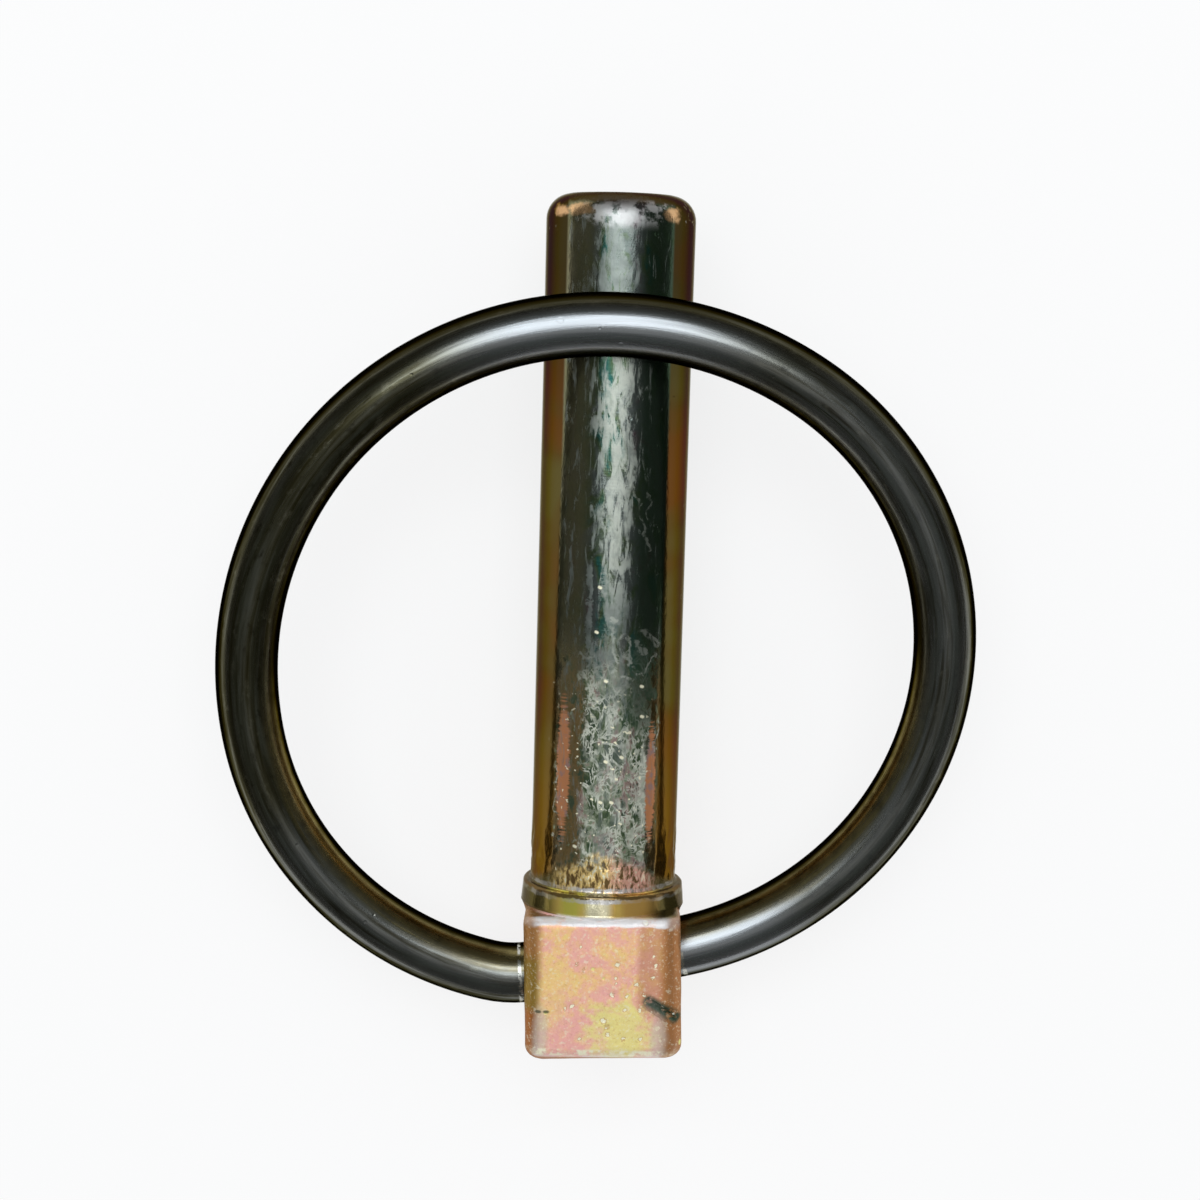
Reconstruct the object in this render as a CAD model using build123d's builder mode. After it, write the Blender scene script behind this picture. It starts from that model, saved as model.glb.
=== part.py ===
from build123d import *
import math
import os

# Latch pin with a snap ring: a plated pin lying on the back of its head, with a ring of
# spring wire that swings about its own two ends and closes over the pin.
# Frame in millimetres: the origin is on the pin's axis at the shoulder where the shank meets
# the head, +Y runs to the tip, +X to the right, and +Z out of the front, where the ring closes.

quarter_turn = 90

# Sizes of the pin
shank_radius = 5.5
shank_length = 51.5
grip_length = 39.1
nose_flare = 0.05
nose_edge_radius = 1.9
foot_fillet = 0.22
collar_step = 0.55
collar_length = 1.65
collar_rim_radius = 0.22
collar_draft = 5.0
collar_root_length = 1.5
collar_root_inset = 0.2
head_width = 11.8
head_depth = 12.6
head_length = 12.55
head_lean = 2.1
head_corner_radius = 1.5
head_top_edge_radius = 0.7
head_end_edge_radius = 1.0

# The hole across the head: how far its middle lies below the shoulder, and how much lower its
# left mouth is than its right one
hole_drop = 6.48
mouth_offset = 2.35
bore_clearance = 0.2
mouth_chamfer = 0.15

# The nick in the front of the head, near its right edge
nick_radius = 0.45
nick_depth = 0.35
nick_length = 2.6
nick_inset = 2.5
nick_drop = 7.85
nick_fall_angle = 32.0

# Sizes of the ring, measured along the middle of the wire in the ring's own plane: sideways
# from the middle of the hole, and up from the hinge line
wire_radius = 2.3
left_reach = 22.36
left_height = 22.07
crown_offset = 3.7
crown_height = 48.81
right_reach = 29.61
right_height = 24.23
left_bend_angle = 24.5
left_bend_radius = 8.0
bend_set_in = 0.7
end_gap = 2.4
end_chamfer = 0.4
closed_gap = 0.15

# The hinge line runs through both mouths of the hole
hinge_slant = math.atan2(mouth_offset, head_width)
hinge_point = Vector(0, -hole_drop, 0)
hinge_direction = Vector(math.cos(hinge_slant), math.sin(hinge_slant), 0)
mouth_reach = head_width / 2 / math.cos(hinge_slant)
bore_radius = wire_radius + bore_clearance

# The closed ring tilts up just enough to lie on the front of the shank, which the wire
# crosses a little to the right of its crown and so a little lower
crossing_shift = crown_height * math.tan(hinge_slant) - crown_offset
crossing_height = crown_height - crossing_shift**2 / (2 * (right_reach - crown_offset))
closed_height = shank_radius + closed_gap + wire_radius
ring_tilt = math.asin(closed_height / crossing_height)
ring_up = Vector(
    -math.sin(hinge_slant) * math.cos(ring_tilt),
    math.cos(hinge_slant) * math.cos(ring_tilt),
    math.sin(ring_tilt),
)
ring_plane = Plane(origin=hinge_point, x_dir=hinge_direction, z_dir=hinge_direction.cross(ring_up))


# Pin: a square head with rounded corners and edges, which leans a little to the right as it
# was forged, and one turned profile for the collar, the shank and the nose
with BuildPart() as pin_body:
    with BuildSketch(Plane.XZ.offset(collar_length).rotated((0, 0, head_lean))):
        RectangleRounded(head_width, head_depth, head_corner_radius)
    extrude(amount=head_length - collar_length)
    fillet(pin_body.faces().sort_by(Axis.Y)[-1].edges(), radius=head_top_edge_radius)
    fillet(pin_body.faces().sort_by(Axis.Y)[0].edges(), radius=head_end_edge_radius)

    with BuildSketch(Plane.XY):
        with BuildLine():
            grip = Line((shank_radius, grip_length), (shank_radius, foot_fillet))
            foot = JernArc(grip @ 1, grip % 1, foot_fillet, quarter_turn)
            shoulder = Line(foot @ 1, (shank_radius + collar_step - collar_rim_radius, 0))
            rim = JernArc(shoulder @ 1, shoulder % 1, collar_rim_radius, collar_draft - quarter_turn)
            band_height = collar_length + (rim @ 1).Y
            band_radius = (rim @ 1).X + band_height * math.tan(math.radians(collar_draft))
            band = Line(rim @ 1, (band_radius, -collar_length))
            root_radius = head_width / 2 - collar_root_inset
            root = Line(band @ 1, (root_radius, -collar_length - collar_root_length))
            base = Line(root @ 1, (0, -collar_length - collar_root_length))
            nose = Line(grip @ 0, (shank_radius + nose_flare, shank_length - nose_edge_radius))
            nose_edge = JernArc(nose @ 1, (0, 1), nose_edge_radius, quarter_turn)
            end_face = Line(nose_edge @ 1, (0, shank_length))
            Line(end_face @ 1, base @ 1)
        make_face()
    revolve(axis=Axis.Y)

    # The hole is drilled straight through on the hinge line, and its mouths are deburred
    with BuildSketch(Plane(origin=hinge_point, x_dir=(0, 0, 1), z_dir=hinge_direction)):
        Circle(bore_radius)
    extrude(amount=head_width, both=True, mode=Mode.SUBTRACT)
    mouths = pin_body.edges(Select.LAST).filter_by(GeomType.ELLIPSE)
    chamfer(mouths, length=mouth_chamfer)

    # The nick is a short round-bottomed gouge that falls to the right
    nick_start = Vector(head_width / 2 - nick_inset, -nick_drop, head_depth / 2 + nick_radius - nick_depth)
    nick_run = Vector(1, 0, 0).rotate(Axis.Z, -nick_fall_angle)
    with BuildSketch(Plane(origin=nick_start, z_dir=nick_run)):
        Circle(nick_radius)
    extrude(amount=nick_length, mode=Mode.SUBTRACT)
pin_body.part.label = "pin_body"


def ring_way(across, up):
    """Gives a direction in the ring's plane."""
    return hinge_direction * across + ring_up * up


def ring_point(across, up):
    """Gives a point in the ring's plane."""
    return hinge_point + ring_way(across, up)


def smooth_quarter(start, start_way, end, end_way):
    """Joins two points of the wire, each with its direction, by two arcs that run into each other."""
    span = end - start
    pull = span.dot(start_way + end_way)
    opening = 2 * (1 - start_way.dot(end_way))
    handle = (math.sqrt(pull**2 + opening * span.dot(span)) - pull) / opening
    start_handle = start + start_way * handle
    end_handle = end - end_way * handle
    middle = (start_handle + end_handle) / 2
    TangentArc(start, middle, tangent=start_way)
    TangentArc(middle, end, tangent=end_handle - start_handle)


# Ring: round spring wire that leaves the left mouth in a short bend, runs through the four
# quarters of the ring into the right mouth, and has both cut ends deburred
with BuildPart() as spring_ring:
    with BuildLine(ring_plane) as wire_line:
        left_stub = Line(ring_point(-end_gap / 2, 0), ring_point(bend_set_in - mouth_reach, 0))
        left_bend = JernArc(left_stub @ 1, left_stub % 1, left_bend_radius, -left_bend_angle)
        right_stub = Line(ring_point(mouth_reach - bend_set_in, 0), ring_point(end_gap / 2, 0))
        stations = [
            (left_bend @ 1, left_bend % 1),
            (ring_point(-left_reach, left_height), ring_way(0, 1)),
            (ring_point(crown_offset, crown_height), ring_way(1, 0)),
            (ring_point(right_reach, right_height), ring_way(0, -1)),
            (right_stub @ 0, right_stub % 0),
        ]
        for (start, start_way), (end, end_way) in zip(stations, stations[1:]):
            smooth_quarter(start, start_way, end, end_way)
    with BuildSketch(Plane(origin=left_stub @ 0, z_dir=left_stub % 0)):
        Circle(wire_radius)
    sweep(path=wire_line.wire())
    cut_ends = spring_ring.faces().filter_by(GeomType.PLANE)
    chamfer(cut_ends.edges(), length=end_chamfer)
spring_ring.part.label = "spring_ring"

os.makedirs("parts", exist_ok=True)
export_step(pin_body.part, "parts/pin_body.step")
export_step(spring_ring.part, "parts/spring_ring.step")
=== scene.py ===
"""The looks of a latch pin with a snap ring: a worn, yellow plated pin and a dark spring wire ring.

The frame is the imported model: metres, origin on the pin's axis at the shoulder, +Y to the tip,
+Z out of the front of the head. Sizes below are in millimetres, as in a maker's drawing.
"""

import logging
import math
from dataclasses import dataclass, field
from enum import Enum
from functools import reduce
from operator import or_

import bmesh
import bpy
from bpy.types import Material, Mesh, Node, NodeSocket, NodeTree, Object, ShaderNodeTree
from mathutils import Matrix, Vector, noise
from mathutils.geometry import intersect_point_line

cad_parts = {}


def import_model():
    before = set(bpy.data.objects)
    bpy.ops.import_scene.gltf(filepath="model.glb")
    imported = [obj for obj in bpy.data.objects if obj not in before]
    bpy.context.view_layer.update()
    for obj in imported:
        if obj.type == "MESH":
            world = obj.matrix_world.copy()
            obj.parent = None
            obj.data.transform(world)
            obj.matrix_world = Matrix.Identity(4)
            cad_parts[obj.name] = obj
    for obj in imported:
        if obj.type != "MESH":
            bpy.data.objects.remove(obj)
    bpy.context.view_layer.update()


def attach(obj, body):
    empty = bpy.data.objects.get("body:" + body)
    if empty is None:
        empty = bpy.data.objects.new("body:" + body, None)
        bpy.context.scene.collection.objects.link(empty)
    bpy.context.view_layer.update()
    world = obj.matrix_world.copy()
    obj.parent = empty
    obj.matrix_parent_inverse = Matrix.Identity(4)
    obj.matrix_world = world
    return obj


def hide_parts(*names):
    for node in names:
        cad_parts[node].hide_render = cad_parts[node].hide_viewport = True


LOG = logging.getLogger("latch_pin")
MM = 0.001
WELD = 0.0005
CREASE = math.radians(32)


class Slot(Enum):
    """The record's material slots."""

    PLATED_STEEL = "plated_steel"
    SPRING_WIRE = "dark_spring_wire"


class Body(Enum):
    """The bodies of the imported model."""

    PIN = "pin"
    RING = "ring"


Colour = tuple[float, float, float, float]
Pair = tuple[float, float]
Triple = tuple[float, float, float]
Inputs = dict[str | int, object]


def colour(red: float, green: float, blue: float) -> Colour:
    """Returns an opaque colour from three linear parts."""
    return (red, green, blue, 1.0)


class Signal:
    """A number, place or colour that changes over a surface. Its operators add the nodes that work it out."""

    def __init__(self, shader: "Shader", socket: NodeSocket) -> None:
        """Wraps an output.

        Args:
            shader: the nodes that the output belongs to.
            socket: the output itself.
        """
        self.shader = shader
        self.socket = socket

    def __add__(self, other: "Number") -> "Signal":
        """Adds a number."""
        return self.shader.math("ADD", self, other)

    def __sub__(self, other: "Number") -> "Signal":
        """Takes a number away."""
        return self.shader.math("SUBTRACT", self, other)

    def __rsub__(self, other: float) -> "Signal":
        """Takes this number away from a plain one."""
        return self.shader.math("SUBTRACT", other, self)

    def __mul__(self, other: "Number") -> "Signal":
        """Multiplies two numbers. For masks, this keeps what lies in both."""
        return self.shader.math("MULTIPLY", self, other)

    def __truediv__(self, other: "Number") -> "Signal":
        """Divides by a number."""
        return self.shader.math("DIVIDE", self, other)

    def __or__(self, other: "Number") -> "Signal":
        """Takes the greater of two numbers. For masks, this keeps what lies in either."""
        return self.shader.math("MAXIMUM", self, other)

    def __abs__(self) -> "Signal":
        """Drops the sign."""
        return self.shader.math("ABSOLUTE", self)

    def parts(self) -> list["Signal"]:
        """Splits a place into its three coordinates."""
        return self.shader.outputs("ShaderNodeSeparateXYZ", {0: self})

    def flat(self) -> "Signal":
        """Drops the depth of a place, so that what follows is seen from the front."""
        return self.shader.vector("MULTIPLY", self, (1.0, 1.0, 0.0))

    def noise(self, scale: float, detail: float = 3.0, rough: float = 0.55, stretch: Triple = (1.0, 1.0, 1.0),
              shift: Triple = (0.0, 0.0, 0.0), twist: float = 0.0) -> "Signal":
        """Adds a noise texture at a place.

        Args:
            scale: how many features there are to a millimetre.
            detail: how many finer layers the noise has.
            rough: how strong the finer layers are.
            stretch: the scale along each axis.
            shift: how far the pattern is moved.
            twist: how much the noise distorts itself.

        Returns:
            The noise, from 0 to 1.
        """
        moved = self.shader.add("ShaderNodeMapping", {"Vector": self, "Scale": stretch, "Location": shift})
        inputs = {
            "Vector": moved.outputs[0], "Scale": scale, "Detail": detail, "Roughness": rough, "Distortion": twist,
        }
        texture = self.shader.add("ShaderNodeTexNoise", inputs, noise_dimensions="3D")
        return Signal(self.shader, texture.outputs["Fac"])

    def span(self, low: float, high: float, to_low: float = 0.0, to_high: float = 1.0) -> "Signal":
        """Maps a span of values onto another with soft ends.

        Args:
            low: where the span starts.
            high: where it ends, which may be the lower value.
            to_low: what its start becomes.
            to_high: what its end becomes.

        Returns:
            The mapped value, which stays level outside the span.
        """
        inputs = {"Value": self, "From Min": low, "From Max": high, "To Min": to_low, "To Max": to_high}
        return self.shader.outputs("ShaderNodeMapRange", inputs, interpolation_type="SMOOTHSTEP", clamp=True)[0]

    def ramp(self, stops: list[tuple[float, Colour]]) -> "Signal":
        """Turns a value into a colour by a ramp.

        Args:
            stops: places on the ramp from 0 to 1, each with its colour.

        Returns:
            The colour.
        """
        node = self.shader.add("ShaderNodeValToRGB", {0: self})
        while len(node.color_ramp.elements) < len(stops):
            node.color_ramp.elements.new(1.0)
        for element, (place, shade) in zip(node.color_ramp.elements, stops):
            element.position = place
            element.color = shade
        return Signal(self.shader, node.outputs[0])

    def mix(self, factor: "Number", other: object) -> "Signal":
        """Lays another colour over this one."""
        return self.shader.mix(factor, self, other)

    def lerp(self, factor: "Number", other: "Number") -> "Signal":
        """Goes from this number to another one."""
        return self.shader.lerp(factor, self, other)

    def spot(self, centre: Pair, reach: Pair, soft: float, wobble: "Number" = 0.0) -> "Signal":
        """Adds an oval patch on the front.

        Args:
            centre: the patch's middle, in millimetres.
            reach: its half width and half height.
            soft: how much of the reach its edge fades over.
            wobble: a value that frays the edge.

        Returns:
            A mask, 1 inside the patch.
        """
        offset = self.shader.vector("SUBTRACT", self.flat(), (*centre, 0.0))
        share = self.shader.vector("LENGTH", self.shader.vector("DIVIDE", offset, (*reach, 1.0)))
        return (share + wobble).span(1.0 + soft / 2, 1.0 - soft / 2)

    def strip(self, centre: Pair, reach: Pair) -> "Signal":
        """Adds a long upright patch with a toothed edge on the front and gives its mask."""
        return self.spot(centre, reach, 0.25, self.noise(1.0, 2.0, 0.6, stretch=(0.6, 6.0, 0.6)) * 0.7)


Number = Signal | float


class Shader:
    """Adds and joins the nodes of one node tree."""

    def __init__(self, tree: NodeTree) -> None:
        """Starts with an empty tree.

        Args:
            tree: the node tree to fill.
        """
        self.tree = tree
        tree.nodes.clear()

    def add(self, kind: str, inputs: Inputs | None = None, **settings: object) -> Node:
        """Adds one node.

        Args:
            kind: the node's type name.
            inputs: what each input is fed with: a signal, an output or a plain value.
            **settings: attributes to set on the node.

        Returns:
            The new node.
        """
        node = self.tree.nodes.new(kind)
        for name, value in settings.items():
            setattr(node, name, value)
        for name, value in (inputs or {}).items():
            self.feed(node.inputs[name], value)
        return node

    def outputs(self, kind: str, inputs: Inputs | None = None, **settings: object) -> list[Signal]:
        """Adds one node and lists what it puts out."""
        return [Signal(self, socket) for socket in self.add(kind, inputs, **settings).outputs]

    def feed(self, target: NodeSocket, value: object) -> None:
        """Feeds an input with a signal, an output or a plain value."""
        if isinstance(value, Signal):
            value = value.socket
        if isinstance(value, NodeSocket):
            self.tree.links.new(value, target)
        else:
            target.default_value = value

    def math(self, operation: str, first: Number, second: Number = 0.0, clamp: bool = False) -> Signal:
        """Adds a Math node, whose result may be kept between 0 and 1."""
        return self.outputs("ShaderNodeMath", {0: first, 1: second}, operation=operation, use_clamp=clamp)[0]

    def vector(self, operation: str, first: object, second: object = (0.0, 0.0, 0.0)) -> Signal:
        """Adds a Vector Math node and gives its vector, or its value where it has one."""
        node = self.add("ShaderNodeVectorMath", {0: first}, operation=operation)
        if operation != "LENGTH":
            self.feed(node.inputs["Scale" if operation == "SCALE" else 1], second)
        return Signal(self, node.outputs["Value" if operation in ("LENGTH", "DOT_PRODUCT") else "Vector"])

    def millimetres(self) -> Signal:
        """Gives the object's own coordinates in millimetres."""
        return self.vector("SCALE", self.add("ShaderNodeTexCoord").outputs["Object"], 1.0 / MM)

    def attribute(self, name: str, output: str = "Fac") -> Signal:
        """Gives what the mesh stores under a name."""
        return Signal(self, self.add("ShaderNodeAttribute", attribute_name=name).outputs[output])

    def mix(self, factor: Number, first: object, second: object) -> Signal:
        """Mixes two colours."""
        return self.blend("RGBA", "RGBA", factor, first, second)

    def lerp(self, factor: Number, first: Number, second: Number) -> Signal:
        """Mixes two numbers."""
        return self.blend("FLOAT", "VALUE", factor, first, second)

    def blend(self, data: str, sort: str, *values: object) -> Signal:
        """Adds a Mix node.

        Args:
            data: the node's data type.
            sort: the type of the sockets that go with it.
            *values: how much of the second shows, the first and the second.

        Returns:
            The mixture.
        """
        node = self.add("ShaderNodeMix", data_type=data, clamp_factor=True)
        inputs = [node.inputs[0], *(socket for socket in node.inputs[1:] if socket.type == sort)]
        for socket, value in zip(inputs, values):
            self.feed(socket, value)
        return Signal(self, next(socket for socket in node.outputs if socket.type == sort))


def new_material(name: str) -> tuple[Material, Shader]:
    """Starts a material with an empty node tree."""
    material = bpy.data.materials.new(name)
    material.use_nodes = True
    return material, Shader(material.node_tree)


def add_object(name: str, data: object) -> Object:
    """Puts an object with its data in the scene."""
    item = bpy.data.objects.new(name, data)
    bpy.context.scene.collection.objects.link(item)
    return item


class MeshTools:
    """Steps that more than one piece needs."""

    @staticmethod
    def finished(bm: bmesh.types.BMesh, name: str) -> Mesh:
        """Welds a bmesh, turns its faces outwards and stores it as a mesh.

        Args:
            bm: the bmesh, which is freed.
            name: the mesh's name.

        Returns:
            The new mesh.
        """
        bmesh.ops.remove_doubles(bm, verts=bm.verts, dist=WELD)
        bmesh.ops.recalc_face_normals(bm, faces=bm.faces)
        mesh = bpy.data.meshes.new(name)
        bm.to_mesh(mesh)
        bm.free()
        return mesh

    @staticmethod
    def boolean(first: Mesh, second: Mesh, operation: str) -> Mesh:
        """Combines two closed meshes.

        Args:
            first: the mesh that is worked on.
            second: the mesh that is added or cut away.
            operation: UNION or DIFFERENCE.

        Returns:
            The combined mesh.
        """
        base, tool = add_object("base", first), add_object("tool", second)
        modifier = base.modifiers.new("combine", "BOOLEAN")
        modifier.operation = operation
        modifier.solver = "EXACT"
        modifier.object = tool
        bpy.context.view_layer.update()
        graph = bpy.context.evaluated_depsgraph_get()
        result = bpy.data.meshes.new_from_object(base.evaluated_get(graph))
        for item in (base, tool):
            bpy.data.objects.remove(item)
        return result

    @staticmethod
    def cut_to_length(bm: bmesh.types.BMesh, edge: bmesh.types.BMEdge, length: float) -> None:
        """Divides an edge into equal stretches no longer than a length."""
        cuts = math.ceil(edge.calc_length() / length) - 1
        if cuts > 0:
            bmesh.ops.subdivide_edges(bm, edges=[edge], cuts=cuts)

    @staticmethod
    def spin_round(bm: bmesh.types.BMesh, axis: Triple, steps: int) -> None:
        """Spins a profile a full turn about an axis through the origin."""
        bmesh.ops.spin(
            bm, geom=bm.verts[:] + bm.edges[:], cent=(0, 0, 0), axis=axis, dvec=(0, 0, 0),
            angle=math.tau, steps=steps, use_merge=True, use_duplicate=False,
        )

    @staticmethod
    def bevel(bm: bmesh.types.BMesh, geom: list[object], radius: float, segments: int, affect: str) -> None:
        """Rounds edges, or the corners of a profile, to a radius."""
        bmesh.ops.bevel(
            bm, geom=geom, offset=radius, offset_type="OFFSET", segments=segments,
            profile=0.5, affect=affect, material=-1,
        )

    @staticmethod
    def rod(name: str, radius: float, length: float, segments: int, place: Matrix) -> Mesh:
        """Makes a round cutter about its own middle, with its axis along the Z of its place."""
        bm = bmesh.new()
        bmesh.ops.create_cone(
            bm, cap_ends=True, segments=segments, radius1=radius, radius2=radius, depth=length, matrix=place,
        )
        return MeshTools.finished(bm, name)

    @staticmethod
    def shade_smooth(bm: bmesh.types.BMesh) -> None:
        """Shades all faces smooth, and keeps the edges that turn by more than a crease."""
        for face in bm.faces:
            face.smooth = True
        for edge in bm.edges:
            edge.smooth = edge.calc_face_angle(0.0) < CREASE

    @staticmethod
    def stored(bm: bmesh.types.BMesh, name: str) -> Object:
        """Puts a bmesh in the scene as an object of its own, and frees it."""
        mesh = bpy.data.meshes.new(name)
        bm.to_mesh(mesh)
        bm.free()
        return add_object(name, mesh)


@dataclass(frozen=True)
class TurnedPoint:
    """One corner of a turned profile, in millimetres."""

    radius: float
    height: float
    rounding: float = 0.0
    spacing: float = 0.7


@dataclass(frozen=True)
class Pit:
    """A small dent in the front of the head, in millimetres."""

    across: float
    height: float
    reach: float
    depth: float


@dataclass
class PlatedPin:
    """The pin: a turned nose, shank and collar on a forged square head with a slanted hole."""

    shank_radius: float = 5.5
    shank_length: float = 51.5
    grip_length: float = 39.1
    nose_flare: float = 0.05
    nose_rounding: float = 1.9
    foot_rounding: float = 0.22
    collar_step: float = 0.55
    collar_length: float = 1.65
    collar_draft: float = math.radians(5.0)
    root_length: float = 1.5
    root_inset: float = 0.2
    head_width: float = 11.8
    head_depth: float = 12.6
    head_length: float = 12.55
    head_lean: float = math.radians(2.1)
    head_corner: float = 1.5
    head_top_edge: float = 0.7
    head_end_edge: float = 1.0
    hole_drop: float = 6.48
    mouth_offset: float = 2.35
    bore_radius: float = 2.5
    nick_radius: float = 0.45
    nick_depth: float = 0.35
    nick_length: float = 2.6
    nick_inset: float = 2.5
    nick_drop: float = 7.85
    nick_fall: float = math.radians(32.0)
    turns: int = 184
    head_cell: float = 0.2
    foot_cell: float = 0.15
    profile_segments: int = 10
    corner_segments: int = 8
    rim_segments: int = 6
    drill_facets: int = 112
    nick_facets: int = 32
    seam_weld: float = 0.004
    mouth_depth: float = 0.9
    mouth_reach: Pair = (-0.02, 0.35)
    mouth_rounds: int = 3
    full_wear: float = 0.29
    forged_height: float = 3.4
    forged_swell: float = 0.055
    skin_start: float = 0.12
    skin_rise: float = 0.4
    grip_wave: float = 0.003
    collar_swell: float = 0.018
    head_wave: float = 0.05
    head_skin: float = 0.025
    bore_margin: float = 0.02
    bore_fade: float = 0.8
    name: str = "plated_pin"
    pits: tuple[Pit, ...] = (
        Pit(-1.49, -3.85, 0.22, 0.05), Pit(-1.78, -5.14, 0.25, 0.05), Pit(1.26, -5.11, 0.36, 0.07),
        Pit(1.18, -6.12, 0.24, 0.06), Pit(1.19, -6.56, 0.22, 0.05), Pit(3.90, -4.37, 0.22, 0.05),
        Pit(4.08, -5.08, 0.30, 0.06), Pit(3.89, -6.04, 0.28, 0.06), Pit(0.89, -7.41, 0.34, 0.08),
        Pit(1.98, -7.49, 0.24, 0.06), Pit(2.71, -6.57, 0.28, 0.06), Pit(3.28, -7.34, 0.26, 0.06),
        Pit(1.90, -8.50, 0.26, 0.05), Pit(2.99, -8.53, 0.28, 0.06), Pit(0.29, -9.39, 0.36, 0.08),
        Pit(0.58, -9.88, 0.30, 0.08), Pit(0.65, -10.44, 0.30, 0.07), Pit(-1.41, -10.84, 0.24, 0.05),
        Pit(1.80, -10.75, 0.28, 0.06), Pit(3.11, -10.71, 0.26, 0.06), Pit(-2.03, -8.33, 0.30, 0.06),
        Pit(-2.56, -8.52, 0.26, 0.06), Pit(4.75, -5.68, 0.20, 0.05), Pit(-1.23, -5.51, 0.24, 0.05),
    )

    def turned_profile(self) -> list[TurnedPoint]:
        """Lists the corners of the turned part from the tip down to its root in the head."""
        band_radius = self.shank_radius + self.collar_step + self.collar_length * math.tan(self.collar_draft)
        root_radius = self.head_width / 2 - self.root_inset
        root_height = -self.collar_length - self.root_length
        return [
            TurnedPoint(0.0, self.shank_length),
            TurnedPoint(self.shank_radius + self.nose_flare, self.shank_length, self.nose_rounding, 0.5),
            TurnedPoint(self.shank_radius, self.grip_length, 0.0, 0.4),
            TurnedPoint(self.shank_radius, 2 * self.forged_height, 0.0, 0.6),
            TurnedPoint(self.shank_radius, 0.0, self.foot_rounding, self.foot_cell),
            TurnedPoint(self.shank_radius + self.collar_step, 0.0, self.foot_rounding, self.foot_cell),
            TurnedPoint(band_radius, -self.collar_length, 0.0, self.foot_cell),
            TurnedPoint(root_radius, root_height, 0.0, 0.5),
            TurnedPoint(0.0, root_height, 0.0, 1.0),
        ]

    def turned_part(self) -> Mesh:
        """Spins the profile of nose, shank, collar and root into a closed solid.

        Returns:
            The turned part's mesh, in millimetres.
        """
        bm = bmesh.new()
        profile = self.turned_profile()
        corners = [bm.verts.new((point.radius, point.height, 0.0)) for point in profile]
        for pair in zip(corners, corners[1:]):
            bm.edges.new(pair)
        for corner, point in zip(corners, profile):
            if point.rounding:
                MeshTools.bevel(bm, [corner], point.rounding, self.profile_segments, "VERTICES")
        for edge in bm.edges[:]:
            MeshTools.cut_to_length(bm, edge, self.spacing_at(edge))
        MeshTools.spin_round(bm, (0, 1, 0), self.turns)
        return MeshTools.finished(bm, "turned_part")

    def spacing_at(self, edge: bmesh.types.BMEdge) -> float:
        """Gives how far apart the points lie on the stretch of the profile that an edge is part of.

        Args:
            edge: an edge of the profile, after its corners are rounded.

        Returns:
            The spacing of the nearest stretch.
        """
        profile = self.turned_profile()
        middle = (edge.verts[0].co + edge.verts[1].co) / 2
        spacings = []
        for start, end in zip(profile, profile[1:]):
            first, last = Vector((start.radius, start.height, 0)), Vector((end.radius, end.height, 0))
            _, share = intersect_point_line(middle, first, last)
            away = (first.lerp(last, min(1.0, max(0.0, share))) - middle).length
            spacings.append((away, end.spacing))
        return min(spacings, key=lambda entry: entry[0])[1]

    def head_block(self) -> Mesh:
        """Rounds a block on all edges, gives it an even grid and leans it as the head leans.

        Returns:
            The head's mesh, in millimetres.
        """
        bm = bmesh.new()
        length = self.head_length - self.collar_length
        block = (self.head_width, length, self.head_depth, 1.0)
        bmesh.ops.create_cube(bm, size=1.0, matrix=Matrix.Diagonal(block))
        uprights = [edge for edge in bm.edges if abs(edge.verts[0].co.y - edge.verts[1].co.y) > WELD]
        MeshTools.bevel(bm, uprights, self.head_corner, self.corner_segments, "EDGES")
        for end, rounding in ((0.5, self.head_top_edge), (-0.5, self.head_end_edge)):
            rim = [edge for edge in bm.edges if all(abs(v.co.y - end * length) < WELD for v in edge.verts)]
            MeshTools.bevel(bm, rim, rounding, self.rim_segments, "EDGES")
        for axis in range(3):
            long_edges = [
                edge for edge in bm.edges
                if edge.calc_length() > self.head_corner + WELD and self.runs_along(edge, axis)
            ]
            cuts = round(long_edges[0].calc_length() / self.head_cell) - 1
            bmesh.ops.subdivide_edges(bm, edges=long_edges, cuts=cuts)
        self.grid_the_end(bm, -length / 2)
        lean = Matrix.Translation((0, -self.collar_length, 0)) @ Matrix.Rotation(self.head_lean, 4, "Z")
        bmesh.ops.transform(bm, matrix=lean @ Matrix.Translation((0, -length / 2, 0)), verts=bm.verts)
        return MeshTools.finished(bm, "head_block")

    @staticmethod
    def runs_along(edge: bmesh.types.BMEdge, axis: int) -> bool:
        """Tells whether an edge is parallel to an axis."""
        return abs((edge.verts[1].co - edge.verts[0].co).normalized()[axis]) > 0.999

    def grid_the_end(self, bm: bmesh.types.BMesh, height: float) -> None:
        """Cuts the flat end of the head into the same cells as its sides.

        Args:
            bm: the block, whose edges are already divided.
            height: where the flat end lies.
        """
        for axis in (0, 2):
            rim = [v.co[axis] for v in bm.verts if abs(v.co.y - height) < WELD]
            flat = self.head_width if axis == 0 else self.head_depth
            limit = flat / 2 - self.head_corner + WELD
            for place in sorted({round(value, 3) for value in rim if abs(value) < limit}):
                end_faces = [face for face in bm.faces if abs(face.calc_center_median().y - height) < WELD]
                parts = {part for face in end_faces for part in [face, *face.edges, *face.verts]}
                normal = Vector((1, 0, 0)) if axis == 0 else Vector((0, 0, 1))
                bmesh.ops.bisect_plane(bm, geom=list(parts), dist=WELD, plane_co=normal * place, plane_no=normal)

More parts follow.
